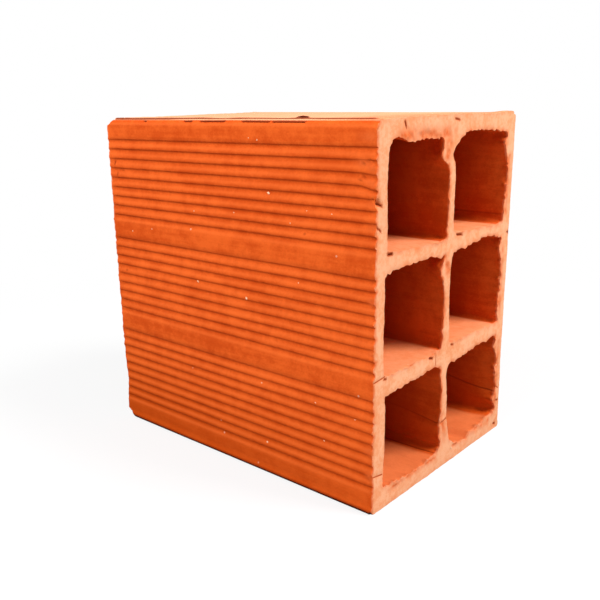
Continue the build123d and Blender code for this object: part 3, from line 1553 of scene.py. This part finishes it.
        # Painted shade in the slits, full where they sink deepest
        return relief - self.slit_share * sunk, torn, np.clip(sunk / self.crevice_depth, 0.0, 1.0)

    @staticmethod
    def _triangles(flat: Array, rings: list[Array]) -> Array:
        """Triangulates an end face.

        Args:
            flat: All its points, those of the rings first.
            rings: Closed loops that bound the clay.

        Returns:
            Rows of three point numbers, counter-clockwise.
        """
        edges = []
        first = 0
        for ring in rings:
            count = len(ring)
            edges += [(first + step, first + (step + 1) % count) for step in range(count)]
            first += count
        vectors = [Vector(point) for point in flat]
        points, _, faces, origins, *_ = delaunay_2d_cdt(vectors, edges, [], 0, SAME_POINT)
        if len(points) != len(flat):
            raise ValueError("the loops of an end face cross each other")
        numbers = np.array([origin[0] for origin in origins])
        triangles = numbers[np.array(faces)]
        return triangles[within(flat[triangles].mean(axis=1), rings)]


@dataclass
class Cap:
    """A cut end face.

    Attributes:
        end: Which end it closes.
        places: Its own points, without the rings that it shares with the skins.
        marks: What was done to the clay at them.
        triangles: Rows of point numbers, counting the rings first.
    """

    end: End
    places: Array
    marks: dict[Mark, Array]
    triangles: Array


class ClayMesh:
    """Collects the points, faces and marks of one closed mesh."""

    def __init__(self) -> None:
        """Starts with nothing."""
        self.places: list[Array] = []
        self.marks: dict[Mark, list[Array]] = {mark: [] for mark in Mark}
        self.faces: list[list[int]] = []
        self.count = 0

    def _add_points(self, places: Array, marks: dict[Mark, Array]) -> int:
        """Adds points with their marks and returns the first one's number."""
        first = self.count
        self.places.append(places.reshape(-1, 3))
        self.count += len(self.places[-1])
        for mark in Mark:
            values = marks.get(mark)
            size = self.count - first
            self.marks[mark].append(np.zeros(size) if values is None else np.asarray(values).reshape(-1))
        return first

    def add_skin(self, skin: Skin) -> int:
        """Adds a tube of surface and returns its first point's number."""
        first = self._add_points(skin.places, skin.marks)
        self.faces += skin.faces(first).tolist()
        return first

    def add_pebble(self, rows: Array) -> None:
        """Adds a closed pebble from rows of points, the first and last of which are its two poles."""
        pole = np.array([rows[0, 0], rows[-1, 0]])
        rings = rows[1:-1]
        count, sectors = rings.shape[:2]
        first = self._add_points(np.concatenate([rings.reshape(-1, 3), pole]), {})
        numbers = first + np.arange(count * sectors).reshape(count, sectors)
        after = np.roll(numbers, -1, axis=1)
        bottom, top = first + count * sectors, first + count * sectors + 1
        quads = np.stack([numbers[:-1], after[:-1], after[1:], numbers[1:]], axis=-1).reshape(-1, 4)
        self.faces += quads.tolist()
        self.faces += [[beside, bottom, here] for here, beside in zip(numbers[0], after[0])]
        self.faces += [[here, beside, top] for here, beside in zip(numbers[-1], after[-1])]

    def add_cap(self, cap: Cap, skins: list[Skin], firsts: list[int]) -> None:
        """Adds an end face.

        Args:
            cap: The end face.
            skins: The skins whose rings it shares.
            firsts: Number of each skin's first point.
        """
        numbers = []
        for skin, first in zip(skins, firsts):
            stations, count = skin.places.shape[:2]
            row = cap.end.row % stations
            numbers.append(first + row * count + np.arange(count))
        own = self._add_points(cap.places, cap.marks)
        numbers.append(own + np.arange(len(cap.places)))
        triangles = np.concatenate(numbers)[cap.triangles]
        self.faces += (triangles if cap.end is End.FRONT else triangles[:, ::-1]).tolist()

    def to_object(self, name: str, sharp_angle: float) -> bpy.types.Object:
        """Makes the Blender object.

        Args:
            name: Its name.
            sharp_angle: Angle in degrees past which an edge shades sharp.

        Returns:
            The object, in metres.
        """
        mesh = bpy.data.meshes.new(name)
        mesh.from_pydata((np.concatenate(self.places) * MM).tolist(), [], self.faces)
        for mark, parts in self.marks.items():
            layer = mesh.attributes.new(mark.value, "FLOAT", "POINT")
            layer.data.foreach_set("value", np.concatenate(parts).astype(np.float32))
        mesh.polygons.foreach_set("use_smooth", np.ones(len(mesh.polygons), dtype=bool))
        mesh.set_sharp_from_angle(angle=math.radians(sharp_angle))
        mesh.update()
        piece = bpy.data.objects.new(name, mesh)
        bpy.context.collection.objects.link(piece)
        return piece


@dataclass
class LimeGrains:
    """Pale grains of lime in the clay's surface, joined in one mesh.

    Attributes:
        sizes: Sizes of the brick.
        seed: Seed of the draws.
        seen: Grains of the near side, as place along the brick, height and radius.
        in_front: Grains of the front end, as place across the brick, height and radius.
        scattered: Number of further grains over the other faces.
        rings: Rows of points on a grain.
        sectors: Points in a row.
        sunk: Share of the radius by which a grain sits in the clay.
        flat: Height of a grain in radii.
        narrow: Least and greatest width of a grain across its length, in radii.
        uneven: Least and greatest distance of its points from its middle, in radii.
        radii: Least and greatest radius of the scattered grains.
        margin: Least distance of the scattered grains from the lower and upper faces.
        sharp_angle: Angle in degrees past which an edge shades sharp.
    """

    sizes: BrickSizes
    seed: int = 31
    seen: tuple[Triple, ...] = (
        (31.2, 154.4, 1.2), (-23.1, 101.4, 0.9), (14.8, 97.9, 0.9), (50.0, 111.5, 0.6), (45.6, 140.8, 0.5),
        (60.6, 50.8, 0.6), (23.8, 52.1, 0.5), (26.9, 18.4, 0.7), (-9.0, 20.8, 0.55), (-31.2, 47.7, 0.5),
        (65.6, 31.1, 0.6), (-78.1, 124.6, 0.6), (-60.0, 127.5, 0.55), (6.9, 142.7, 0.5), (-23.1, 141.1, 0.5),
        (55.6, 147.7, 0.45), (70.6, 147.4, 0.45), (84.4, 48.1, 0.5), (19.5, 181.0, 0.5), (25.0, 180.2, 0.45),
    )
    in_front: tuple[Triple, ...] = ((10.4, 7.0, 1.2), (62.8, 41.0, 0.8))
    scattered: int = 26
    rings: int = 5
    sectors: int = 9
    sunk: float = 0.25
    flat: float = 0.5
    narrow: Pair = (0.5, 1.0)
    uneven: Pair = (0.75, 1.25)
    radii: Pair = (0.25, 0.5)
    margin: float = 4.0
    sharp_angle: float = 60.0

    ASIDE = (0.31, 0.52, 0.79)

    def build(self, clay: bpy.types.Object) -> bpy.types.Object:
        """Sets the grains in the brick's surface.

        Args:
            clay: The brick.

        Returns:
            The grains' object.
        """
        tree = BVHTree.FromObject(clay, bpy.context.evaluated_depsgraph_get())
        rng = np.random.default_rng(self.seed)
        mesh = ClayMesh()
        for start, way, radius in self._rays(rng):
            place, normal, *_ = tree.ray_cast(Vector(start) * MM, Vector(way))
            if place is not None:
                self._add_grain(mesh, np.array(place) / MM, np.array(normal), radius, rng)
        return mesh.to_object("lime_grains", self.sharp_angle)

    def dress(self, piece: bpy.types.Object, finish: LimeStone) -> None:
        """Gives the grains their finish and lets them ride with the brick."""
        piece.data.materials.append(finish.material())
        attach(piece, BODY)

    def _rays(self, rng: np.random.Generator) -> list[tuple[Triple, Triple, float]]:
        """Lines of sight that find the grains' places: start, way and radius of the grain."""
        out = self.sizes.width
        rays = [((along, -out, up), (0.0, 1.0, 0.0), radius) for along, up, radius in self.seen]
        half, side, top = self.sizes.length / 2, self.sizes.width / 2, self.sizes.height
        rays += [((2 * half, across, up), (-1.0, 0.0, 0.0), radius) for across, up, radius in self.in_front]
        for _ in range(self.scattered):
            along = rng.uniform(-half, half)
            across = rng.uniform(-side, side)
            up = rng.uniform(self.margin, top - self.margin)
            faces = (
                ((along, 2 * out, up), (0.0, -1.0, 0.0)),
                ((along, across, 2 * top), (0.0, 0.0, -1.0)),
                ((2 * half, across, up), (-1.0, 0.0, 0.0)),
                ((-2 * half, across, up), (1.0, 0.0, 0.0)),
            )
            start, way = faces[rng.integers(len(faces))]
            rays.append((start, way, rng.uniform(*self.radii)))
        return rays

    def _add_grain(self, mesh: ClayMesh, place: Array, normal: Array, radius: float,
                   rng: np.random.Generator) -> None:
        """Adds one uneven pebble.

        Args:
            mesh: Mesh that takes it.
            place: Point of the clay's surface.
            normal: Way out of the clay there.
            radius: Half the pebble's width.
            rng: Source of its unevenness.
        """
        side = np.cross(normal, self.ASIDE)
        side /= np.linalg.norm(side)
        axes = np.array([side, np.cross(normal, side), normal])
        tilt = np.linspace(-math.pi / 2, math.pi / 2, self.rings)[:, None]
        turn = np.arange(self.sectors)[None, :] * 2.0 * math.pi / self.sectors
        level = np.cos(tilt)
        ball = np.stack([level * np.cos(turn), level * np.sin(turn), np.sin(tilt) + 0.0 * turn], axis=-1)
        ball *= rng.uniform(*self.uneven, (self.rings, self.sectors, 1))
        ball *= (1.0, rng.uniform(*self.narrow), self.flat)
        ball[0] = ball[0].mean(axis=0)
        ball[-1] = ball[-1].mean(axis=0)
        mesh.add_pebble(place - normal * radius * self.sunk + radius * ball @ axes)


class Flow:
    """A node's output that takes part in Python sums, each of which adds a Math node."""

    def __init__(self, board: NodeBoard, socket: bpy.types.NodeSocket) -> None:
        """Keeps the board and the output."""
        self.board = board
        self.socket = socket

    def math(self, operation: str, *terms: Operand) -> Flow:
        """Adds a Math node on some terms."""
        return self.board.node("ShaderNodeMath", {"operation": operation}, dict(enumerate(terms)))

    def __add__(self, other: Operand) -> Flow:
        """Sum."""
        return self.math("ADD", self, other)

    def __radd__(self, other: Operand) -> Flow:
        """Sum with a number first."""
        return self.math("ADD", other, self)

    def __sub__(self, other: Operand) -> Flow:
        """Difference."""
        return self.math("SUBTRACT", self, other)

    def __rsub__(self, other: Operand) -> Flow:
        """Difference with a number first."""
        return self.math("SUBTRACT", other, self)

    def __mul__(self, other: Operand) -> Flow:
        """Product."""
        return self.math("MULTIPLY", self, other)


Operand = Flow | float | Triple | tuple[float, float, float, float]


class NodeBoard:
    """A material's or a world's nodes, made one by one."""

    def __init__(self, tree: bpy.types.NodeTree) -> None:
        """Takes over an emptied node tree."""
        self.tree = tree
        tree.nodes.clear()

    @staticmethod
    def _open(sockets: bpy.types.bpy_prop_collection, name: str | None) -> bpy.types.NodeSocket:
        """First socket in use, or the one with a name."""
        return next(socket for socket in sockets if socket.enabled and name in (None, socket.name))

    def node(self, kind: str, settings: dict[str, object] | None = None,
             sockets: dict[str | int, Operand] | None = None, output: str | None = None) -> Flow:
        """Adds a node.

        Args:
            kind: Type of the node.
            settings: Its properties, which are set first.
            sockets: Values or links of its inputs, by name or number.
            output: Name of the output to return, the first one if not given.

        Returns:
            The output.
        """
        made = self.tree.nodes.new(kind)
        for name, value in (settings or {}).items():
            setattr(made, name, value)
        for key, value in (sockets or {}).items():
            socket = made.inputs[key] if isinstance(key, int) else self._open(made.inputs, key)
            if isinstance(value, Flow):
                self.tree.links.new(value.socket, socket)
            else:
                socket.default_value = value
        return Flow(self, self._open(made.outputs, output)) if made.outputs else None

    def mix(self, first: Operand, second: Operand, share: Operand) -> Flow:
        """Mixes two colours by a share of the second."""
        values = {"Factor": share, "A": first, "B": second}
        return self.node("ShaderNodeMix", {"data_type": "RGBA"}, values, "Result")

    def noise(self, place: Flow, scale: float, detail: float, rough: float) -> Flow:
        """Noise over a surface, from 0 to 1."""
        values = {"Vector": place, "Scale": scale, "Detail": detail, "Roughness": rough}
        return self.node("ShaderNodeTexNoise", {"noise_dimensions": "3D"}, values, "Fac")

    def step(self, value: Flow, start: float, stop: float) -> Flow:
        """Rises smoothly from 0 to 1 between two values."""
        values = {"Value": value, "From Min": start, "From Max": stop}
        return self.node("ShaderNodeMapRange", {"interpolation_type": "SMOOTHSTEP"}, values, "Result")

    def stretch(self, place: Flow, factors: Triple) -> Flow:
        """Scales places along each axis."""
        return self.node("ShaderNodeVectorMath", {"operation": "MULTIPLY"}, {0: place, 1: factors})

    def mark(self, mark: Mark) -> Flow:
        """Reads a mark from the mesh."""
        return self.node("ShaderNodeAttribute", {"attribute_name": mark.value}, output="Fac")


def tint(code: str) -> tuple[float, float, float, float]:
    """Turns a colour code of six hexadecimal digits into linear red, green, blue and alpha."""
    parts = [int(code[start:start + 2], 16) / 255.0 for start in (1, 3, 5)]
    linear = [part / 12.92 if part <= 0.04045 else ((part + 0.055) / 1.055) ** 2.4 for part in parts]
    return (*linear, 1.0)


@dataclass(frozen=True)
class FiredClay:
    """Unglazed fired clay: orange skin with drag lines, paler where it was cut, brighter where it broke, with
    painted shade and light.

    A pattern of noise is its scale, detail and roughness, and a range the values between which a share rises.
    """

    name: str = "fired_clay"
    deep: str = "#d04b12"
    warm: str = "#ec6322"
    # Painted shade at the foot, more of it towards the rear
    low: str = "#c14805"
    # Painted highlight on the grooves' long flanks and the near upper edge
    painted_highlight: str = "#f87332"
    # Painted shade of rims, seams, slits, creases, pits and the foot line, and its darkest tone deep in slits
    # and seams
    shade: str = "#8a2803"
    hollow: str = "#4a1503"
    # Painted shade deep in the cells
    cell_shade: str = "#ab3505"
    cut_pale: str = "#ffb88c"
    cut_warm: str = "#f99f6c"
    torn_tone: str = "#e96c33"
    chip_tone: str = "#f2762f"
    # Dust with painted light from above, on the top and on the cells' floors
    dust_and_top_light: str = "#e6ac82"
    dust_and_floor_light: str = "#fb8d54"
    lime: str = "#f8d2b0"
    # Stretch of the drag lines and of the pits
    drag: Triple = (0.05, 1.0, 1.0)
    pit_drag: Triple = (0.8, 1.0, 1.0)
    # Patterns of noise
    blotch: Triple = (34.0, 5.0, 0.6)
    mottle: Triple = (120.0, 4.0, 0.65)
    tear: Triple = (420.0, 4.0, 0.7)
    lines: Triple = (420.0, 3.0, 0.6)
    grain: Triple = (900.0, 3.0, 0.65)
    dots: Triple = (2600.0, 2.0, 0.6)
    # Shares of the patterns in the skin and in a cut, and ranges of tones
    skin_shares: tuple[float, ...] = (0.3, 0.35, 0.2, 0.15)
    cut_shares: Triple = (0.6, 0.3, 0.1)
    skin_range: Pair = (0.4, 0.6)
    cut_range: Pair = (0.36, 0.6)
    tear_range: Pair = (0.42, 0.58)
    hollow_range: Pair = (0.7, 1.0)
    # Painted shade at the foot: height in metres, share half-way along, and loss for each metre to the front
    low_reach: float = 0.075
    low_share: float = 0.6
    low_slope: float = 2.4
    # Shares of other tones, with what a pattern adds to the least one
    highlight_share: float = 0.45
    dust_and_light_shares: Pair = (0.6, 0.5)
    torn_shares: Pair = (0.7, 0.3)
    chip_share: float = 0.6
    lime_share: float = 0.5
    pit_share: float = 0.4
    # Specks: cells to the metre, and share of the cells that hold one
    lime_specks: Pair = (150.0, 0.03)
    pit_specks: Pair = (115.0, 0.02)
    # Relief: shares of grain, finest grain, lines and pits, strength, and height in metres
    bump_shares: tuple[float, ...] = (0.5, 0.3, 0.5, 0.8)
    bump_strength: float = 0.55
    grain_height: float = 0.00045
    # Gloss: roughness, what the grain takes off it, and strength
    roughness: float = 0.9
    smoother: float = 0.12
    specular: float = 0.05

    SPECK_EDGE = (0.05, 0.12)
    DRAW_EDGE = 0.01

    def material(self) -> bpy.types.Material:
        """Makes the finish.

        Returns:
            The material.
        """
        material = bpy.data.materials.new(self.name)
        material.use_nodes = True
        board = NodeBoard(material.node_tree)
        place = board.node("ShaderNodeTexCoord", output="Object")
        marks = {mark: board.mark(mark) for mark in Mark}
        grain = board.noise(place, *self.grain)
        lines = board.noise(board.stretch(place, self.drag), *self.lines)
        pits = self._specks(board, board.stretch(place, self.pit_drag), *self.pit_specks)

        of_grain, of_dots, of_lines, of_pits = self.bump_shares
        relief = grain * of_grain + board.noise(place, *self.dots) * of_dots
        relief = relief + lines * of_lines * (1.0 - marks[Mark.CUT]) - pits * of_pits
        bump_values = {"Strength": self.bump_strength, "Distance": self.grain_height, "Height": relief}
        shader = board.node("ShaderNodeBsdfPrincipled", None, {
            "Base Color": self._tone(board, place, marks, grain, lines, pits),
            "Roughness": self.roughness - grain * self.smoother,
            "Specular IOR Level": self.specular,
            "Normal": board.node("ShaderNodeBump", None, bump_values),
        })
        board.node("ShaderNodeOutputMaterial", None, {"Surface": shader})
        return material

    def _tone(self, board: NodeBoard, place: Flow, marks: dict[Mark, Flow], grain: Flow, lines: Flow,
              pits: Flow) -> Flow:
        """Lays the clay's tones, painted shade and painted light over each other.

        Args:
            board: Nodes to add to.
            place: Places on the surface.
            marks: What was done to the clay.
            grain: Grain of the clay.
            lines: Drag lines.
            pits: Pits.

        Returns:
            The colour.
        """
        blotch = board.noise(place, *self.blotch)
        mottle = board.noise(place, *self.mottle)
        tear = board.step(board.noise(place, *self.tear), *self.tear_range)
        along, height = (board.node("ShaderNodeSeparateXYZ", None, {"Vector": place}, axis) for axis in "XZ")
        crevice = marks[Mark.CREVICE]

        of_blotch, of_mottle, of_lines, of_grain = self.skin_shares
        uneven = blotch * of_blotch + mottle * of_mottle + lines * of_lines + grain * of_grain
        of_mottle, of_blotch, of_tear = self.cut_shares
        pale = board.step(mottle * of_mottle + blotch * of_blotch + tear * of_tear, *self.cut_range)
        # Painted shade at the foot, more of it towards the rear
        low = (1.0 - board.step(height, 0.0, self.low_reach)) * (self.low_share - along * self.low_slope)
        least_dust_and_light, more_dust_and_light = self.dust_and_light_shares
        least_torn, more_torn = self.torn_shares
        layers = (
            (tint(self.low), low),
            # Painted shade deep in the cells
            (tint(self.cell_shade), marks[Mark.CELL]),
            # Painted highlight
            (tint(self.painted_highlight), marks[Mark.CREST] * self.highlight_share),
            # Dust with painted light from above, on the top and on the floors
            (board.mix(tint(self.dust_and_top_light), tint(self.dust_and_floor_light), marks[Mark.INSIDE]),
             marks[Mark.BED] * (least_dust_and_light + mottle * more_dust_and_light)),
            (board.mix(tint(self.cut_warm), tint(self.cut_pale), pale), marks[Mark.CUT]),
            (tint(self.torn_tone), marks[Mark.TORN] * (least_torn + tear * more_torn)),
            (tint(self.chip_tone), marks[Mark.CHIP] * self.chip_share),
            (tint(self.lime), self._specks(board, place, *self.lime_specks) * self.lime_share),
            # Painted shade of rims, seams, slits, creases, pits and the foot line, darkest where it is full
            (tint(self.shade), crevice + pits * self.pit_share),
            (tint(self.hollow), board.step(crevice, *self.hollow_range)),
        )
        tone = board.mix(tint(self.deep), tint(self.warm), board.step(uneven, *self.skin_range))
        for layer, share in layers:
            tone = board.mix(tone, layer, share)
        return tone

    def _specks(self, board: NodeBoard, place: Flow, scale: float, share: float) -> Flow:
        """Small round specks, one in some of the cells of a Voronoi pattern.

        Args:
            board: Nodes to add to.
            place: Places on the surface.
            scale: Cells to the metre.
            share: Share of the cells that hold a speck.

        Returns:
            One in a speck and zero around it.
        """
        values = {"Vector": place, "Scale": scale}
        settings = {"feature": "F1"}
        distance = board.node("ShaderNodeTexVoronoi", settings, values, "Distance")
        picked = board.node("ShaderNodeTexVoronoi", settings, values, "Color")
        draw = board.node("ShaderNodeSeparateColor", None, {"Color": picked}, "Red")
        taken = 1.0 - board.step(draw, share - self.DRAW_EDGE, share)
        return (1.0 - board.step(distance, *self.SPECK_EDGE)) * taken


@dataclass(frozen=True)
class LimeStone:
    """Chalky grain that the fire turned pale."""

    name: str = "lime_grain"
    pale: str = "#fbd6b0"
    stained: str = "#f2a878"
    # Stains: their pattern of noise and the range of their tone
    stain: Triple = (1400.0, 3.0, 0.55)
    stain_range: Pair = (0.4, 0.65)
    # Relief in metres, and gloss as for the clay
    bump_strength: float = 0.4
    bump_height: float = 0.0002
    roughness: float = 0.95
    smoother: float = 0.1
    specular: float = 0.05

    def material(self) -> bpy.types.Material:
        """Makes the finish.

        Returns:
            The material.
        """
        material = bpy.data.materials.new(self.name)
        material.use_nodes = True
        board = NodeBoard(material.node_tree)
        place = board.node("ShaderNodeTexCoord", output="Object")
        stain = board.noise(place, *self.stain)
        bump_values = {"Strength": self.bump_strength, "Distance": self.bump_height, "Height": stain}
        shader = board.node("ShaderNodeBsdfPrincipled", None, {
            "Base Color": board.mix(tint(self.pale), tint(self.stained), board.step(stain, *self.stain_range)),
            "Roughness": self.roughness - stain * self.smoother,
            "Specular IOR Level": self.specular,
            "Normal": board.node("ShaderNodeBump", None, bump_values),
        })
        board.node("ShaderNodeOutputMaterial", None, {"Surface": shader})
        return material


@dataclass(frozen=True)
class Lamp:
    """A large soft lamp.

    Attributes:
        name: Its name.
        toward: Direction from the brick to the lamp.
        distance: Distance from the brick in metres.
        width: Width of its square face in metres.
        level: Light on a surface that faces it, where 1 shows a colour as it is written.
    """

    name: str
    toward: Triple
    distance: float
    width: float
    level: float

    def build(self, target: Vector) -> None:
        """Hangs the lamp so that it looks at a point."""
        light = bpy.data.lights.new(self.name, "AREA")
        light.shape = "SQUARE"
        light.size = self.width
        light.energy = self.level * (math.pi * self.distance) ** 2
        lamp = bpy.data.objects.new(self.name, light)
        toward = Vector(self.toward).normalized()
        lamp.location = target + toward * self.distance
        lamp.rotation_euler = toward.to_track_quat("Z", "Y").to_euler()
        bpy.context.collection.objects.link(lamp)


@dataclass(frozen=True)
class PhotoCamera:
    """The camera at the picture's viewing angle: places in metres, angles in degrees, lens in millimetres."""

    place: Triple = (0.27642, -0.34163, 0.20132)
    heading: float = 43.135
    pitch: float = -15.112
    roll: float = -1.589
    lens: float = 44.559
    sensor: float = 36.0
    shift: Pair = (0.07817, -0.0066)
    nearest: float = 0.01

    def build(self) -> None:
        """Sets up the camera and makes it the scene's own."""
        data = bpy.data.cameras.new("picture_camera")
        data.lens = self.lens
        data.sensor_width = self.sensor
        data.sensor_fit = "HORIZONTAL"
        data.shift_x, data.shift_y = self.shift
        data.clip_start = self.nearest
        camera = bpy.data.objects.new("picture_camera", data)
        turn = Matrix.Rotation(math.radians(self.heading), 4, "Z")
        tip = Matrix.Rotation(math.radians(90.0 + self.pitch), 4, "X")
        bank = Matrix.Rotation(math.radians(self.roll), 4, "Z")
        camera.matrix_world = Matrix.Translation(self.place) @ turn @ tip @ bank
        bpy.context.collection.objects.link(camera)
        bpy.context.scene.camera = camera


@dataclass(frozen=True)
class Studio:
    """A white floor and background, two soft lamps and the camera."""

    lamps: tuple[Lamp, ...] = (
        Lamp("end_lamp", (0.57, 0.26, 0.78), 1.3, 0.5, 1.08),
        Lamp("side_lamp", (-0.10, -0.70, 0.71), 0.95, 0.5, 0.84),
    )
    # Floor: half its width and gap below the brick in metres, tones that it shows and throws back
    floor_half: float = 4.0
    floor_gap: float = 0.0002
    floor_tone: str = "#f2f2f2"
    bounce_tone: str = "#b4b4b4"
    white: str = "#ffffff"
    # Share of plain white in the floor, beside the brick and far from it, and the distances
    floor_glow: Pair = (0.8, 1.0)
    glow_reach: Pair = (0.14, 0.5)
    ambient: float = 0.28
    camera: PhotoCamera = PhotoCamera()

    def build(self, target: Vector) -> None:
        """Sets up the studio round the brick."""
        bpy.context.scene.view_settings.view_transform = "Standard"
        for lamp in self.lamps:
            lamp.build(target)
        self._floor()
        self._world()
        self.camera.build()

    def _seen(self, board: NodeBoard) -> Flow:
        """One on rays that look at the floor or the background, straight, in a gloss or through glass."""
        outputs = ("Is Camera Ray", "Is Glossy Ray", "Is Transmission Ray")
        straight, gloss, through = (board.node("ShaderNodeLightPath", output=name) for name in outputs)
        return straight.math("MAXIMUM", straight.math("MAXIMUM", straight, gloss), through)

    def _floor(self) -> None:
        """Lays a pale floor that looks white and keeps the brick's shadow."""
        corners = ((-1.0, -1.0), (1.0, -1.0), (1.0, 1.0), (-1.0, 1.0))
        mesh = bpy.data.meshes.new("floor")
        points = [(across * self.floor_half, along * self.floor_half, 0.0) for across, along in corners]
        mesh.from_pydata(points, [], [range(len(points))])
        floor = bpy.data.objects.new("floor", mesh)
        floor.location.z = -self.floor_gap
        bpy.context.collection.objects.link(floor)
        material = bpy.data.materials.new("pale_floor")
        material.use_nodes = True
        board = NodeBoard(material.node_tree)
        matt = board.node("ShaderNodeBsdfDiffuse", None, {"Color": tint(self.floor_tone)})
        glow = board.node("ShaderNodeEmission", None, {"Color": tint(self.white), "Strength": 1.0})
        place = board.node("ShaderNodeTexCoord", output="Object")
        distance = board.node("ShaderNodeVectorMath", {"operation": "LENGTH"}, {0: place}, "Value")
        low, high = self.floor_glow
        share = low + board.step(distance, *self.glow_reach) * (high - low)
        bounce = board.node("ShaderNodeBsdfDiffuse", None, {"Color": tint(self.bounce_tone)})
        shown = board.node("ShaderNodeMixShader", None, {0: share, 1: matt, 2: glow})
        mixed = board.node("ShaderNodeMixShader", None, {0: self._seen(board), 1: bounce, 2: shown})
        board.node("ShaderNodeOutputMaterial", None, {"Surface": mixed})
        mesh.materials.append(material)

    def _world(self) -> None:
        """Makes a white background and an even soft light."""
        world = bpy.data.worlds.new("studio")
        bpy.context.scene.world = world
        world.use_nodes = True
        board = NodeBoard(world.node_tree)
        white = tint(self.white)
        soft = board.node("ShaderNodeBackground", None, {"Color": white, "Strength": self.ambient})
        seen = board.node("ShaderNodeBackground", None, {"Color": white, "Strength": 1.0})
        mixed = board.node("ShaderNodeMixShader", None, {0: self._seen(board), 1: soft, 2: seen})
        board.node("ShaderNodeOutputWorld", None, {"Surface": mixed})


def main() -> None:
    """Builds the brick, its grains and the studio."""
    logging.basicConfig(level=logging.INFO, format="%(name)s: %(message)s")
    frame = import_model()
    LOG.info("nodes in the frame: %s", ", ".join(frame["nodes"]))
    sizes = BrickSizes.from_frame(NODE)

    body = BrickBody(sizes)
    clay = body.build()
    body.dress(clay, FiredClay())
    LOG.info("%s: %d points, %d faces", clay.name, len(clay.data.vertices), len(clay.data.polygons))

    grains = LimeGrains(sizes)
    pebbles = grains.build(clay)
    grains.dress(pebbles, LimeStone())
    LOG.info("%s: %d points, %d faces", pebbles.name, len(pebbles.data.vertices), len(pebbles.data.polygons))

    Studio().build(Vector((0.0, 0.0, sizes.height / 2 * MM)))


if __name__ == "__main__":
    main()
